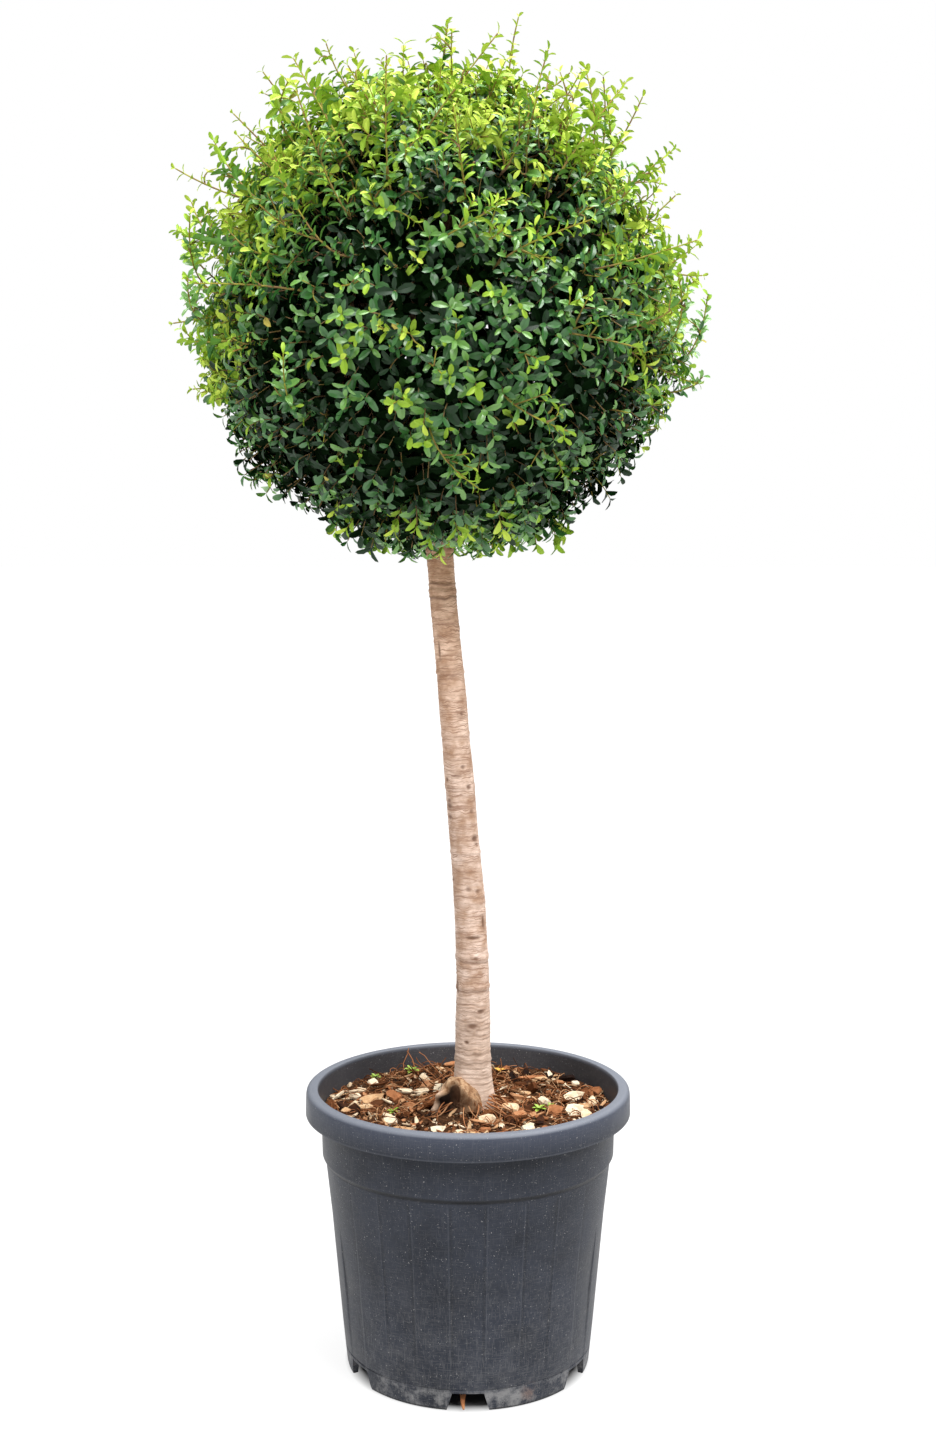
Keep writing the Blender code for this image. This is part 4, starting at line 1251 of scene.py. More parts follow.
    def side_shoots(self, parents, each, rng):
        """Shorter shoots that fork from longer ones."""
        lines = np.repeat(parents["lines"], each, axis=0)
        count = len(lines)
        size, gap, tone = (np.repeat(parents["leaves"][key], each) for key in ("size", "gap", "tone"))
        starts, headings = along_each(lines, rng.uniform(0.42, 0.8, count))
        across = unit(np.cross(headings, rng.normal(0, 1.0, (count, 3))))
        slope = rng.uniform(0.55, 0.95, count)[:, None]
        heading = unit(headings * np.cos(slope) + across * np.sin(slope) + UP * 0.12)
        reach = rng.uniform(0.022, 0.038, count)[:, None]
        ends = starts + heading * reach + headings * reach * 0.15
        ways = unit(ends - HEAD_CENTRE)
        over = norm(ends - HEAD_CENTRE, axis=1) - self.outline(ways) - 0.004
        over = over + self.sunk(ways) * (lines.shape[1] < 9)
        ends -= ways * np.maximum(over, 0.0)[:, None]
        return self.kind(ways, bends(starts, starts + heading * reach * 0.5, ends, 6), size,
                         (0.8, 1.0), 0.9, lambda: tone, (0.7, 0.98), 0.03, pair_gap=gap)

    def hanging_shoots(self, rng):
        """The low shoots that hang round the top of the stem."""
        count = HANGING_SHOOTS
        ways = ways_from_below(GOLDEN * np.arange(count), rng.uniform(0.12, 0.5, count))
        proud = rng.uniform(-0.002, 0.011, count)
        return self.kind(ways, self.shoots(ways, proud, -0.35), self.settings.leaf, (1.05, 1.25),
                         1.15, (3.1, 1.0), (0.5, 0.8), (0.036, 0.046), 0.3, 1.2)


def last_part(lines, run):
    """The last run metres of each line, resampled to as many points."""
    parts = []
    for line, length in zip(lines, run):
        steps = norm(np.diff(line, axis=0), axis=-1)
        gone = np.concatenate(((0.0,), np.cumsum(steps)))
        begin = max(gone[-1] - length, 0.12 * gone[-1])
        wanted = begin + (gone[-1] - begin) * shares(len(line))
        parts.append([np.interp(wanted, gone, axis) for axis in line.T])
    return np.array(parts).transpose(0, 2, 1)


# ---- leaves and twigs as node trees
# each form of leaf: its sections as height and half width, how far it folds and how far it curls
LEAF_FORMS = {
    "broad_leaf": (((0.24, 0.14), (0.62, 0.252), (0.91, 0.18)), 0.42, 0.4),
    "narrow_leaf": (((0.26, 0.12), (0.63, 0.21), (0.91, 0.148)), 0.46, 0.55),
    "inner_leaf": (((0.32, 0.22), (0.74, 0.245)), 0.3, 0.16),
}
BROAD_SHARE = 0.6  # of the outer leaves, the rest are narrow
STRAW_SHARE = 0.002  # of all the leaves, those that have yellowed
# each tone's roughness, shine, and the blue of its gloss; the old leaves inside have lost theirs
GLOSS = {"deep": (0.7, 0.04, 1.0), "dark": (0.4, 0.34, 1.0), "middle": (0.35, 0.8, 1.0),
         "bright": (0.34, 0.95, 1.0), "fresh": (0.36, 0.35, 0.5), "lime": (0.42, 0.28, 0.4),
         "straw": (0.6, 0.15, 0.5)}


def leaf_form(name, sections, fold, curl):
    """One leaf of unit length along +Z, upper face to -X, folded and sharp along its rib."""
    points = [(0.0, 0.0, 0.0)]
    for z, half in sections:
        bend = curl * z * z
        points += [(bend - fold * half, half, z), (bend, 0.0, z), (bend - fold * half, -half, z)]
    points.append((curl, 0.0, 1.0))
    last = len(points) - 1
    faces = [(0, 1, 2), (0, 2, 3)]
    for a in range(1, last - 3, 3):
        faces += [(a, a + 3, a + 4, a + 1), (a + 1, a + 4, a + 5, a + 2)]
    faces += [(last - 3, last, last - 2), (last - 2, last, last - 1)]
    leaf = made(name, points, (), faces)
    rib = [0, *range(2, last, 3), last]
    rib = set(zip(rib, rib[1:]))
    return sharpen(leaf, [tuple(sorted(edge.vertices)) in rib for edge in leaf.data.edges])


def foliage_tree():
    """Pairs of leaves along shoots, each pair across the last, in a finish for each tone."""
    graph, given = geometry_tree(
        "foliage", tip_size=0.66, tilt_spread=0.2, roll_spread=0.22, twist=0.4, facing=0.26,
        size_spread=0.16, tone_spread=0.45, seed=1, **dict.fromkeys(LEAF_FORMS, "Object"),
        **dict.fromkeys(GLOSS, "Material"))

    def scatter(amount, offset):
        """A random value from -amount to amount; offset sets it apart from the others."""
        return graph.random(graph.times(amount, -1.0), amount, graph.plus(given.seed, offset))

    curve = graph.out("MeshToCurve", {"Mesh": given.geometry})
    curve = graph.out("ResampleCurve", {"Curve": curve, "Length": graph.attribute("gap")}, mode="LENGTH")
    spline = graph.add("SplineParameter").outputs
    curve = graph.store(curve, "along", spline["Factor"])
    curve = graph.store(curve, "order", spline["Index"], "INT")
    spots = graph.add("CurveToPoints", {"Curve": curve}, mode="EVALUATED").outputs
    inputs = {"Geometry": spots["Points"], "Amount": 2}
    pairs = graph.add("DuplicateElements", inputs, domain="POINT").outputs
    side = graph.times(pairs["Duplicate Index"], math.pi)
    quarter = graph.times(graph.attribute("order", "INT"), math.pi / 2)
    roll = graph.plus(side, quarter, graph.attribute("phase"), scatter(given.roll_spread, 1.0))
    share = graph.attribute("along")
    tilt = graph.times(graph.attribute("opening"), graph.ramp(share, 0.55, 1.0, 1.0, 0.62))
    turn = graph.turned(spots["Rotation"], z=roll)
    turn = graph.turned(turn, y=graph.plus(tilt, scatter(given.tilt_spread, 2.0)))
    turn = graph.turned(turn, z=scatter(given.twist, 3.0))
    # turn the upper faces out from the head, and a little up
    outward = graph.vector("ADD", graph.out("InputPosition"), tuple(-HEAD_CENTRE))
    outward = graph.vector("MULTIPLY", outward, (-1.0, -1.0, -0.35))
    outward = graph.vector("ADD", outward, (0.0, 0.0, -0.1))
    inputs = {"Rotation": turn, "Factor": given.facing, "Vector": outward}
    turn = graph.out("FunctionNodeAlignRotationToVector", inputs, axis="X", pivot_axis="Z")
    size = graph.times(
        graph.attribute("size"), graph.ramp(share, 0.62, 1.0, 1.0, given.tip_size),
        graph.plus(1.0, scatter(given.size_spread, 4.0)))
    # lighter towards the tip of the shoot: younger leaves there, and painted shade on the older ones
    # back inside the head; and a few leaves of straw
    tip = graph.ramp(share, 0.15, 1.0, graph.times(graph.attribute("darkening"), -1.0), 1.1)
    tone = graph.plus(graph.attribute("tone"), tip, scatter(given.tone_spread, 5.0))
    tone = graph.math("MINIMUM", graph.math("MAXIMUM", tone, 0.0), 5.0)
    odd = graph.random(0.0, 1.0, graph.plus(given.seed, 6.0))
    odd = graph.times(graph.math("GREATER_THAN", odd, 1 - STRAW_SHARE), 6.0)
    tone = graph.math("MAXIMUM", graph.math("ROUND", tone), odd)
    points = graph.store(pairs["Geometry"], "tone", tone, "INT")
    pick = graph.random(0.0, 1.0, graph.plus(given.seed, 7.0))
    outer = graph.attribute("fine", "INT")
    chosen = {
        "broad_leaf": graph.times(graph.math("LESS_THAN", pick, BROAD_SHARE), outer),
        "narrow_leaf": graph.times(graph.math("GREATER_THAN", pick, BROAD_SHARE), outer),
        "inner_leaf": graph.minus(1.0, outer),
    }
    leaves = graph.joined([graph.copies(points, getattr(given, form), turn, size, selection)
                           for form, selection in chosen.items()])
    tones = [(graph.equal(graph.attribute("tone", "INT"), number), getattr(given, tone))
             for number, tone in enumerate(GLOSS)]
    return graph.close(leaves, tones)


def twig_tree():
    """Round twigs along lines, as thick as the lines say, with a little relief in their bark."""
    graph, given = geometry_tree("twigs", sides=5, relief=0.0, relief_size=0.01,
                                 material="Material")
    curve = graph.out("MeshToCurve", {"Mesh": given.geometry})
    ring = graph.out("CurvePrimitiveCircle", {"Resolution": given.sides, "Radius": 1.0}, "Curve")
    inputs = {"Curve": curve, "Profile Curve": ring, "Scale": graph.attribute("thickness"),
              "Fill Caps": True}
    tube = graph.out("CurveToMesh", inputs)
    scale = graph.math("DIVIDE", 1.0, given.relief_size)
    rough = graph.noise(graph.out("InputPosition"), scale, 3.0)
    lift = graph.times(graph.minus(rough, 0.5), given.relief)
    inputs = {0: graph.out("InputNormal"), "Scale": lift}
    outward = graph.out("ShaderNodeVectorMath", inputs, operation="SCALE")
    tube = graph.out("SetPosition", {"Geometry": tube, "Offset": outward})
    return graph.close(tube, given.material)


def twig_finish():
    """Twig bark: red-brown and grey on old wood, olive to yellow-green on fresh shoots."""
    finish = Finish("twig_bark", (0.2, 0.1, 0.05), 0.6, Specular_IOR_Level=0.15)
    patch = finish.noise(finish.place(), 90.0, 3.0)
    old = finish.mixed(finish.ramp(patch, 0.35, 0.65), (0.13, 0.062, 0.03), (0.33, 0.205, 0.125))
    new = finish.mixed(finish.ramp(patch, 0.4, 0.62), (0.4, 0.38, 0.05), (0.25, 0.14, 0.034))
    finish.colour = finish.mixed(finish.mark("fresh"), old, new)
    return finish.done()


def leaf_finishes(settings):
    """A glossy leaf finish for each tone."""
    finishes = {}
    for tone, (roughness, shine, blue) in GLOSS.items():
        finish = Finish("leaf_" + tone, getattr(settings, tone), roughness,
                        Specular_IOR_Level=shine, Specular_Tint=(1.0, 1.0, blue, 1.0))
        finishes[tone] = finish.done()
    return finishes


class TOPIARY_OT_boughs(bpy.types.Operator):
    """Grow the boughs that fan out from the top of the trunk"""
    bl_idname = "topiary.boughs"
    bl_label = "Boughs"

    def execute(self, context):
        lines = []
        for name in BOUGHS:
            line = middle_line(name)
            back = unit(line[0] - line[1])
            root = trunk_axis(np.array((line[0, 2] - 0.02,)))[0]
            start = 0.35 * line[0] + 0.65 * root
            whole = np.concatenate((start[None], line[:1] + back * 0.003, line))
            lines.append(along(whole, shares(40))[0])
        lines = np.array(lines)
        for _ in range(3):
            lines[:, 1:-1] = (lines[:, :-2] + 2 * lines[:, 1:-1] + lines[:, 2:]) / 4
        boughs = wires("boughs", lines, thickness=thinning(BOUGH_RADII, lines) * 1.06)
        material = bark_finish(context.scene.topiary_trunk, "bough_bark", stem=False)
        grown(boughs, twig_tree(), sides=14, relief=0.0022, relief_size=0.012, material=material)
        settle(boughs, "bark", *BOUGHS)
        return {"FINISHED"}


class TOPIARY_OT_foliage(bpy.types.Operator):
    """Grow limbs, branches, shoots and pairs of leaves out from the boughs, by one seeded rule"""
    bl_idname = "topiary.foliage"
    bl_label = "Branches and Leaves"

    def execute(self, context):
        settings = context.scene.topiary_foliage
        head = Framework(settings)
        mass = head.outline.mass
        rng = default_rng(settings.seed + 100)
        finishes = leaf_finishes(settings)
        bark = twig_finish()
        leaves_grow, twigs_grow = foliage_tree(), twig_tree()
        forms = {name: leaf_form(name, *form) for name, form in LEAF_FORMS.items()}
        wood = []
        for lines, radii in ((head.limbs, LIMB_RADII), (head.branches, BRANCH_RADII)):
            own = mass(unit(lines[:, -1] - HEAD_CENTRE))
            wood.append((lines, radii, own, np.zeros(len(own))))
        leafy = []
        for kind in head.kinds:
            own = mass(kind["ways"])
            wood.append((kind["lines"], kind["radii"], own, np.zeros(len(own)) + kind["fresh"]))
            leaves = dict(kind["leaves"], phase=rng.uniform(0, TAU, len(own)))
            leafy.append((last_part(kind["lines"], kind["run"]), own, leaves))
        for number, node in enumerate(MASSES):
            tier = node.replace("leaf_mass_", "")
            twigs = [self.twigs(lines[own == number], radii, fresh[own == number], twigs_grow, bark)
                     for lines, radii, own, fresh in wood if (own == number).any()]
            settle(joined("twigs_" + tier, twigs), "bark", node)
            parts = [wires("leafy_part", points[own == number],
                           **{key: values[own == number] for key, values in leaves.items()})
                     for points, own, leaves in leafy if (own == number).any()]
            leaves = joined("leaves_" + tier, parts)
            grown(leaves, leaves_grow, seed=settings.seed + 10 * number, **forms, **finishes)
            settle(leaves, "foliage", node)
        discard(forms.values())
        return {"FINISHED"}

    def twigs(self, lines, radii, fresh, tree, material):
        """The wood of one kind of shoot, fresher towards its tips."""
        fresh = fresh[:, None] * np.sqrt(shares(lines.shape[1]))
        part = wires("twig_part", lines, thickness=thinning(radii, lines), fresh=fresh)
        return grown(part, tree, sides=TWIG_SIDES.get(radii, 3), material=material)


# ---- the soil and its litter
BED_RADIUS = 0.161
HOLLOW_MOUTH = (-0.019, -0.052)  # the ground before the old stub's hollow, kept clear
CREAM_SHARE = 0.08  # of the chips and crumbs, those of bare pale wood
# the four forms of bits: name, seed, width and depth to length, and how far the ends curl up
CHIP_FORMS = (("flake", 3, 0.62, 0.13, 0.1), ("chunk", 4, 0.8, 0.32, 0.0),
              ("curl", 8, 0.7, 0.1, 1.1), ("splinter", 9, 0.26, 0.11, 0.05))
FORM_SHARES = (0.42, 0.12, 0.12, 0.34)
# pale and tan bits in the litter: x, y and length in millimetres, width to length, turn and tilt in
# degrees, form, and how pale
NAMED_CHIPS = (
    (-127.3, 28.3, 13, 0.75, 20, 12, 1, 0.97), (-121.6, 47.2, 12, 0.8, -15, 10, 1, 0.92),
    (-109.3, 74.2, 12, 0.9, 40, -25, 1, 1), (-50.7, 86, 14, 0.95, 70, -30, 1, 0.96),
    (-31.6, 47.2, 21, 0.8, 35, -35, 2, 1), (-72, 39, 19, 0.4, -8, 5, 0, 0.98),
    (-53, 42, 18, 0.45, 6, -8, 0, 0.95), (-108, 6, 26, 0.55, 25, -20, 2, 0.8),
    (-83, 16, 27, 0.42, -65, -15, 1, 0.6), (-115, -12, 22, 0.5, 35, 15, 0, 0.86),
    (-56, 9, 15, 0.6, 60, 30, 0, 0.78), (-83.7, -68, 15, 0.75, 10, -12, 1, 1),
    (-88, -48, 13, 0.6, -40, 18, 0, 0.94), (-31.6, -94.8, 16, 0.65, 0, -15, 2, 1),
    (21.9, -68, 20, 0.75, -20, -25, 2, 0.93), (64.4, -84.9, 14, 0.6, 15, -20, 1, 0.98),
    (46.5, -26.3, 20, 0.62, -10, -10, 1, 0.88), (115.4, -33.4, 21, 0.78, 30, -28, 2, 1),
    (96, -27, 21, 0.62, -50, -20, 1, 0.58), (118.3, 17.2, 23, 0.55, 12, -32, 2, 0.95),
    (96.2, 101.9, 13, 0.85, 80, -40, 0, 1), (85, 88, 15, 0.5, 15, 10, 0, 0.84),
    (139, 6, 17, 0.6, 60, -20, 0, 0.92), (124, 72, 9, 0.8, 10, 0, 1, 0.98),
    (64, 33, 16, 0.35, -25, 5, 0, 0.84), (56, -50, 17, 0.5, 30, -12, 1, 0.66),
    (-11, 110, 17, 0.4, 20, -10, 0, 0.72), (-134, -30, 16, 0.6, 70, 10, 0, 0.82),
    (72, 96, 30, 0.2, 8, -6, 3, 0.62), (-70, -90, 20, 0.3, -15, -5, 3, 0.8),
)
# seedlings in the litter: x, y and spread
SEEDLINGS = ((-0.1078, 0.09, 0.0075), (-0.0656, 0.1181, 0.01), (-0.0817, -0.0369, 0.007),
             (0.0784, -0.0263, 0.0095), (0.092, -0.015, 0.006))
# the two leaves of the fallen one: x, y, turn, pitch and size
FALLEN_LEAF = ((0.0345, 0.1181, 0.6, 1.2, 0.012), (0.0385, 0.116, 2.4, 1.0, 0.01))
ROOT_TIP = ((-0.005, -0.118, 0.015), (-0.0062, -0.13, 0.007), (-0.0046, -0.139, 0.0042))


def bed_height(places):
    """The top of the potting mix at each x, y: lumpy, and a little heaped round the trunk."""
    flat = places * (1.0, 1.0, 0.0)
    away = norm(flat[..., :2] - TRUNK_FOOT, axis=-1)
    lumps = 0.0024 * bumps(flat, 0.034, 5.0) + 0.0014 * bumps(flat, 0.011, 8.0)
    lumps = lumps + 0.0008 * bumps(flat, 0.0046, 2.0)
    return SOIL_TOP + 0.0008 + lumps + 0.003 * bell(away / 0.045)


def laid(places, lift):
    """Places, or only their x and y, put on the top of the bed and lifted off it."""
    places = np.concatenate((places[..., :2], np.zeros_like(places[..., :1])), axis=-1)
    places[..., 2] = bed_height(places) + lift
    return places


def walked(headings, step):
    """Lines from the origin, one level step in each heading; step has one length for each line."""
    return np.cumsum(level_ways(headings) * step[:, None, None], axis=1)


def bed_skin():
    """Rings over the body of mix: up from its floor, along the pot's wall, and in over the top."""
    circle = level_ways(np.linspace(0, TAU, 240, endpoint=False))
    low, high = FLOOR_HEIGHT + 0.0045, SOIL_TOP - 0.004
    foot = BED_RADIUS - BODY_TAPER * (high - low)
    rings = [(0.001, low), (0.5 * foot, low), (foot - 0.002, low)]
    rings += [(BED_RADIUS - BODY_TAPER * (high - z) - 0.002, z)
              for z in np.linspace(low + 0.002, high, 8)]
    below = [circle * radius + UP * z for radius, z in rings]
    above = circle * np.linspace(BED_RADIUS - 0.0005, 0.0012, 120)[:, None, None]
    return np.concatenate((np.array(below), laid(above, 0.0)))


def chip_form(material, name, seed, width, depth, bend):
    """A broken flake, unit length along X, from three uneven rings; bend curls its two ends up."""
    rng = default_rng(seed)
    sides = 7
    turn = TAU * (np.arange(sides) + rng.uniform(-0.22, 0.22, sides)) / sides
    flat = level_ways(turn) * 0.5 * rng.uniform(0.82, 1.15, sides)[:, None] * (1.0, width, 0.0)
    rings = []
    for size, z in ((0.8, -0.5), (1.0, 0.05), (0.82, 0.5)):
        ring = flat * size
        ring[:, 2] = depth * (z + rng.uniform(-0.14, 0.14, sides)) + bend * ring[:, 0] ** 2
        rings.append(ring)
    form = skin(name, np.array(rings), material)
    return sharpen(form, [True] * len(form.data.edges))


def litter_tree():
    """Copies of the given forms at points, each turned, sized and picked as its point says."""
    forms = [f"form_{number}" for number in range(len(CHIP_FORMS))]
    graph, given = geometry_tree("litter", material="Material", **dict.fromkeys(forms, "Object"))
    turned = graph.rotation(*[graph.attribute(name) for name in ("lean", "pitch", "turn")])
    size = graph.attribute("size")
    sizes = graph.xyz(size, graph.times(size, graph.attribute("width")), size)
    copies = [graph.copies(given.geometry, getattr(given, form), turned, sizes,
                           graph.equal(graph.attribute("form", "INT"), number))
              for number, form in enumerate(forms)]
    return graph.close(graph.joined(copies), given.material)


def mix_finish(settings):
    """Damp potting mix: dark and mid brown grains with pale flecks."""
    finish = Finish("damp_potting_mix", settings.mix, 0.9, Specular_IOR_Level=0.08)
    place = finish.place()
    mix = np.array(settings.mix)
    grains = finish.out("ShaderNodeTexVoronoi", {"Vector": place, "Scale": 420.0}, "Color")
    grey = finish.out("ShaderNodeRGBToBW", {"Color": grains})
    finish.colour = finish.mixed(grey, 0.35 * mix, np.minimum(1.0, 2.6 * mix))
    finish.coat(settings.chip, finish.speckle(place, 520.0, 0.33, 0.05), 0.7)
    return finish.done((grey, 0.7, 0.0015))


def litter_finish(settings, name="bark_litter"):
    """Bark, wood and fibre, from nearly black to cream by the attribute shade, with a grain."""
    finish = Finish(name, settings.chip, 0.78, Specular_IOR_Level=0.12)
    place = finish.place()
    grain = finish.streaks(place, 260.0, 620.0, 2.4)
    patch = finish.minus(finish.noise(place, 150.0, 4.0), 0.5)
    shade = finish.scaled(patch, 0.3, finish.mark("shade"))
    finish.colour = (0.012, 0.004, 0.002)
    for low, high, tint in ((0.02, 0.36, (0.16, 0.055, 0.017)), (0.36, 0.62, settings.chip),
                            (0.62, 0.84, (0.64, 0.42, 0.23)), (0.84, 0.98, settings.pale)):
        finish.coat(tint, finish.ramp(shade, low, high))
    dark = finish.mixed(1.0, finish.colour, (0.5, 0.4, 0.32), "MULTIPLY")
    finish.coat(dark, grain, 0.55)
    return finish.done((grain, 0.5, 0.0006))


def strewn(count, rng, sizes):
    """Places for bits of the litter, clear of the wall and the trunk, with their sizes."""
    size = sizes[0] + (sizes[1] - sizes[0]) * rng.random(count) ** 2.2
    away = BED_RADIUS * np.sqrt(rng.random(count))
    places = level_ways(rng.uniform(0, TAU, count)) * away[:, None]
    clear = norm(places[:, :2] - TRUNK_FOOT, axis=1) > 0.024 + 0.4 * size
    mouth = norm(places[:, :2] - HOLLOW_MOUTH, axis=1) > 1.4 * size
    kept = clear & mouth & (away + 0.42 * size < BED_RADIUS)
    size = size[kept]
    return laid(places[kept], size * rng.uniform(0, 0.22, len(size))), size


class TOPIARY_OT_soil(bpy.types.Operator):
    """Fill the pot with potting mix and strew it with bark, wood chips, fibres and seedlings"""
    bl_idname = "topiary.soil"
    bl_label = "Soil"

    def execute(self, context):
        settings = context.scene.topiary_soil
        rng = default_rng(settings.seed)
        bed = skin("potting_mix_bed", bed_skin(), mix_finish(settings))
        settle(bed, "potting_mix", "soil")
        finish = litter_finish(settings)
        forms = {f"form_{number}": chip_form(finish, *form) for number, form in enumerate(CHIP_FORMS)}
        area = math.pi * BED_RADIUS ** 2
        grow = litter_tree()
        for name, number, sizes, tip in (("bark_chips", settings.chips, (0.006, 0.023), 0.42),
                                         ("crumbs", settings.crumbs, (0.0016, 0.0065), 1.2)):
            places, size = strewn(int(number * area), rng, sizes)
            count = len(size)
            # painted shade: the chips darker towards the back of the pot
            far = smooth((places[:, 1] - 0.02) / 0.12)
            shade = np.clip(rng.beta(0.85, 1.0, count) * 1.04 - 0.14 * far, 0.02, 0.93)
            cream = rng.random(count) < CREAM_SHARE
            shade[cream] = rng.uniform(0.9, 1.0, cream.sum())
            self.strew(name, places, forms, grow, finish, size=size, shade=shade,
                       turn=rng.uniform(0, TAU, count), lean=rng.normal(0, tip, count),
                       pitch=rng.normal(0, tip, count), width=rng.uniform(0.6, 1.25, count),
                       form=rng.choice(4, count, p=FORM_SHARES))
        table = np.array(NAMED_CHIPS) * (MM, MM, MM, 1.0, 1.0, 1.0, 1.0, 1.0)
        _, _, length, width, turn, tilt, form, shade = table.T
        turn, tilt, form = np.radians(turn), np.radians(tilt), form.astype(int)
        base = np.array([row[2] for row in CHIP_FORMS])[form]
        self.strew("pale_chips", laid(table, 0.0035), forms, grow, finish, size=length * 1.18,
                   width=width / base, turn=turn, lean=0.25 - tilt, pitch=tilt * 0.3, form=form,
                   shade=shade)
        discard(forms.values())
        self.fibres(rng, finish)
        self.seedlings(rng)
        return {"FINISHED"}

    def strew(self, name, places, forms, tree, finish, **values):
        bits = wires(name, places[:, None, :], **values)
        grown(bits, tree, material=finish, **forms)
        settle(bits, "potting_mix", "soil")

    def fibres(self, rng, finish):
        """Fibres over the litter, needles behind the stem, and a root tip out of the front notch."""
        steps = 7
        starts, length = strewn(900, rng, (0.016, 0.046))
        count = len(starts)
        turn = rng.uniform(0, TAU, count)[:, None]
        sway = rng.normal(0, 0.85, count)[:, None] * np.linspace(-0.5, 0.5, steps)
        lines = walked(turn + sway, length / steps)
        lines += starts[:, None] - 0.5 * lines[:, -1:]
        away = norm(lines[..., :2], axis=-1, keepdims=True)
        lines[..., :2] *= np.minimum(1.0, (BED_RADIUS - 0.003) / away)
        arch = rng.uniform(0, 1.0, count)[:, None] ** 2 * np.sin(np.linspace(0, math.pi, steps))
        lines = laid(lines, 0.0026 + 0.0075 * arch)
        shade = rng.uniform(0.22, 0.8, count)
        fibres = wires("fibres", lines, thickness=rng.uniform(0.00028, 0.00062, count), shade=shade)
        grown(fibres, twig_tree(), sides=4, material=finish)
        count, steps = 60, 6
        turn = rng.uniform(0, TAU, count)[:, None] + rng.normal(0, 0.25, (count, steps))
        places = np.stack((rng.normal(-0.018, 0.045, count), rng.normal(0.058, 0.022, count),
                           np.zeros(count)), axis=-1)
        stalks = places[:, None] + walked(turn, rng.uniform(0.003, 0.007, count))
        rise = rng.uniform(0.004, 0.03, count)[:, None] * shares(steps)
        needles = wires("needles", laid(stalks, 0.002 + rise),
                        thickness=rng.uniform(0.0003, 0.0007, count),
                        shade=rng.uniform(0.1, 0.62, count))
        grown(needles, twig_tree(), sides=4, material=finish)
        root = wires("root_tip", bends(*np.array(ROOT_TIP)[:, None], 8),
                     thickness=np.linspace(0.0036, 0.0012, 8)[None], shade=np.array((0.62,)))
        grown(root, twig_tree(), sides=8, relief=0.0008, relief_size=0.004, material=finish)
        settle(joined("fibres_and_roots", [fibres, needles, root]), "potting_mix", "soil")

    def seedlings(self, rng):
        """Small green rosettes, and a fallen yellow leaf behind the stem."""
        form = leaf_form("seedling_form", ((0.4, 0.26), (0.74, 0.28)), 0.3, 0.35)
        grow = litter_tree()
        rosettes = [(x, y, turn * GOLDEN, 0.55 + 0.1 * turn, reach * rng.uniform(0.7, 1.1))
                    for x, y, reach in SEEDLINGS for turn in range(9)]
        for name, rows, look in (
                ("seedlings", rosettes, ("seedling_leaf", (0.28, 0.42, 0.045), 0.5)),
                ("fallen_leaf", FALLEN_LEAF, ("fallen_leaf", (0.66, 0.34, 0.045), 0.6))):
            table = np.array(rows)
            _, _, turn, pitch, size = table.T
            level = np.zeros(len(table))
            self.strew(name, laid(table, 0.0045), {"form_0": form}, grow, Finish(*look).done(),
                       size=size, width=level + 1, turn=turn, lean=level, pitch=pitch,
                       form=level.astype(int))
        discard([form])


# ---- the old stub at the trunk's foot
STUB_CENTRE = np.array((-0.01, -0.02, 0.297))
STUB_RADII = (0.025, 0.024, 0.027)
# swellings of the stub: a point each one leans towards, its width in degrees, and how far it swells
STUB_SWELLS = (
    ((-0.019, -0.024, 0.333), 22, 0.005), ((-0.039, -0.029, 0.29), 18, 0.008),
    ((-0.035, -0.033, 0.309), 13, 0.0065), ((0.013, -0.04, 0.29), 22, 0.0045),
    ((0.009, -0.042, 0.308), 18, 0.0035), ((-0.012, -0.04, 0.327), 13, 0.0035),
)
PALE_RIDGE = ((-0.035, -0.033, 0.306), 16)  # the slab left of the hollow
STUB_MOUTH = np.array((-0.016, -0.047, 0.301))  # where the hollow opens
MOUTH_SIZE = (0.72, 0.8, 0.017)  # its half width and half height as sines, and its depth
FOOT_ROOTS = 84


def stub_skin():
    """Ring points of the stub, swollen and hollowed by direction, and how much painted shade lies in its
    hollow.
    """
    rise = np.linspace(0.02, math.pi - 0.02, 150)
    turn = np.linspace(0, TAU, 200, endpoint=False)
    slope, around = np.meshgrid(rise, turn, indexing="ij")
    ways = ways_from_below(around, slope)
    reach = 1 / norm(ways / STUB_RADII, axis=-1)

    def near(point, degrees):
        angle = np.arccos(np.clip(ways @ unit(np.array(point) - STUB_CENTRE), -1.0, 1.0))
        return bell(angle / math.radians(degrees))

    for point, degrees, swell in STUB_SWELLS:
        reach = reach + swell * near(point, degrees)
    ahead = unit(STUB_MOUTH - STUB_CENTRE)
    right = unit(np.cross(ahead, UP))
    high = (ways @ np.cross(right, ahead)) / MOUTH_SIZE[1]
    wide = (ways @ right) / (MOUTH_SIZE[0] * (1 - 0.3 * smooth(high)))
    mouth = 1 / (1 + (wide ** 2 + high ** 2) ** 8) * (ways @ ahead > 0.0)
    place = STUB_CENTRE + ways * reach[..., None]
    strands = bumps(place, (0.004, 0.004, 0.013), 4.0)
    fine = bumps(place, (0.0014, 0.0014, 0.0036), 11.0)
    reach = reach - MOUTH_SIZE[2] * mouth + 0.0009 * strands + 0.0007 * fine
    reach = reach + 0.0012 * bumps(place, 0.0085, 7.0)
    ridge = np.clip(0.5 + 0.8 * strands + 0.5 * fine + 0.5 * near(*PALE_RIDGE), 0.0, 1.0)
    # painted shade in the hollow's mouth, less of it on one side
    hollow = mouth * (1 - 0.78 * smooth((0.05 - wide) / 0.6))
    return STUB_CENTRE + ways * reach[..., None], {"hollow": hollow, "ridge": ridge}


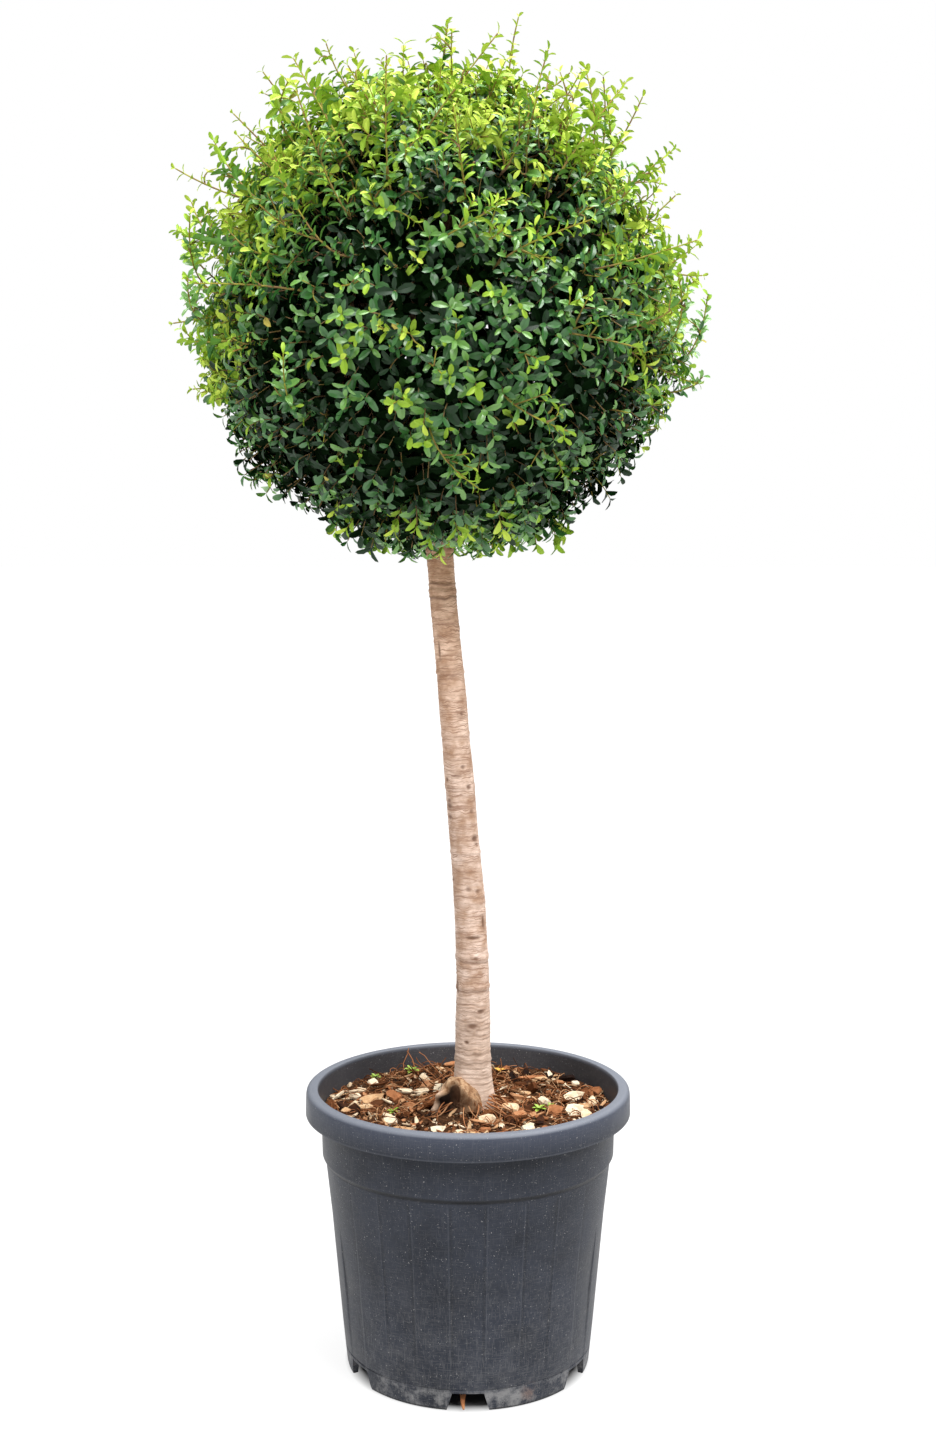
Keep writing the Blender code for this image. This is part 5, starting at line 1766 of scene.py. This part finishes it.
def stub_finish():
    """Rough old bark: grey-tan on its ridges, brown between them, and painted shade, nearly black, in
    the hollow.
    """
    finish = Finish("old_stub_bark", (0.3, 0.19, 0.12), 0.85, Specular_IOR_Level=0.1)
    place = finish.place()
    across = finish.axes(place)["X"]
    cloud = finish.noise(place, 160.0, 6.0, 0.65)
    share = finish.scaled(finish.mark("ridge"), 0.45, finish.times(cloud, 0.72))
    finish.colour = (0.19, 0.078, 0.03)
    finish.coat((0.7, 0.46, 0.275), finish.ramp(share, 0.3, 0.72))
    grain = finish.streaks(place, 420.0, 90.0, 3.0)
    finish.coat((0.24, 0.13, 0.07), grain, 0.45)
    fibrous = finish.mixed(grain, (0.07, 0.03, 0.014), (0.42, 0.235, 0.12))
    finish.coat(fibrous, finish.ramp(across, -0.01, 0.006), 0.6)
    finish.coat((0.76, 0.56, 0.43), finish.ramp(across, -0.025, -0.033), 0.55)
    # painted shade in the hollow, darkest towards its left
    inside = finish.mixed(finish.ramp(across, -0.021, -0.008), (0.012, 0.007, 0.005),
                          (0.125, 0.062, 0.034))
    finish.coat(inside, finish.ramp(finish.mark("hollow"), 0.02, 0.28))
    return finish.done((finish.plus(cloud, grain), 0.6, 0.0009))


class TOPIARY_OT_stub(bpy.types.Operator):
    """Shape the hollow old stub at the trunk's foot, with roots that run out over the soil"""
    bl_idname = "topiary.stub"
    bl_label = "Old Stub"

    def execute(self, context):
        points, marks = stub_skin()
        stub = skin("old_stub_and_hollow", points, stub_finish(), **marks)
        settle(stub, "bark", "old_stub")
        rng = default_rng(23)
        count, steps = FOOT_ROOTS, 9
        foot = np.array((*TRUNK_FOOT, 0.0)) + (-0.006, -0.009, 0.0)
        turn = GOLDEN * np.arange(count) + rng.uniform(-0.3, 0.3, count)
        heading = turn[:, None] + rng.normal(0, 0.9, count)[:, None] * shares(steps)
        lines = walked(heading, rng.uniform(0.018, 0.062, count) / steps)
        lines += foot + 0.022 * level_ways(heading[:, :1])
        drop = 0.5 + 0.5 * np.cos(np.linspace(0, math.pi, steps) * 1.15)
        rise = rng.uniform(0.001, 0.014, count)[:, None] * np.maximum(drop, 0.0)
        lines = laid(lines, 0.0012 + rise)
        open_way = norm(lines[:, 2:, :2] - HOLLOW_MOUTH, axis=-1).min(axis=1) > 0.012
        lines = lines[open_way]
        count = len(lines)
        thickness = rng.uniform(0.0003, 0.0012, count)[:, None] * np.linspace(1.0, 0.45, steps)
        roots = wires("foot_roots", lines, thickness=thickness, shade=rng.uniform(0.36, 0.74, count))
        finish = litter_finish(context.scene.topiary_soil, "root_fibre")
        grown(roots, twig_tree(), sides=6, relief=0.0006, relief_size=0.003, material=finish)
        settle(roots, "bark", "old_stub")
        return {"FINISHED"}


# ---- the panel, and the run
SETTINGS = {
    "topiary_stage": TopiaryStageSettings,
    "topiary_pot": TopiaryPotSettings,
    "topiary_trunk": TopiaryTrunkSettings,
    "topiary_foliage": TopiaryFoliageSettings,
    "topiary_soil": TopiarySoilSettings,
}
OPERATORS = (TOPIARY_OT_stage, TOPIARY_OT_pot, TOPIARY_OT_trunk, TOPIARY_OT_boughs,
             TOPIARY_OT_foliage, TOPIARY_OT_soil, TOPIARY_OT_stub)


class TOPIARY_PT_panel(bpy.types.Panel):
    """The pieces of the topiary, in the order they are built"""
    bl_idname = "TOPIARY_PT_panel"
    bl_label = "Lollipop Topiary"
    bl_space_type = "VIEW_3D"
    bl_region_type = "UI"
    bl_category = "Topiary"

    def draw(self, context):
        for name, settings in SETTINGS.items():
            box = self.layout.box()
            box.label(text=name.replace("topiary_", "").title())
            for key in settings.__annotations__:
                box.prop(getattr(context.scene, name), key)
        for operator in OPERATORS:
            self.layout.operator(operator.bl_idname)


def register():
    for cls in (*SETTINGS.values(), *OPERATORS, TOPIARY_PT_panel):
        bpy.utils.register_class(cls)
    for name, cls in SETTINGS.items():
        setattr(bpy.types.Scene, name, PointerProperty(type=cls))


def unregister():
    for name in SETTINGS:
        delattr(bpy.types.Scene, name)
    for cls in (TOPIARY_PT_panel, *OPERATORS, *reversed(list(SETTINGS.values()))):
        bpy.utils.unregister_class(cls)


def corners(box):
    return [[round(value, 6) for value in corner] for corner in box]


def main():
    register()
    for operator in OPERATORS:
        group, name = operator.bl_idname.split(".")
        getattr(getattr(bpy.ops, group), name)()
    {"cad": corners(CAD_BOX), "visual": corners(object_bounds())}


if __name__ == "__main__":
    main()
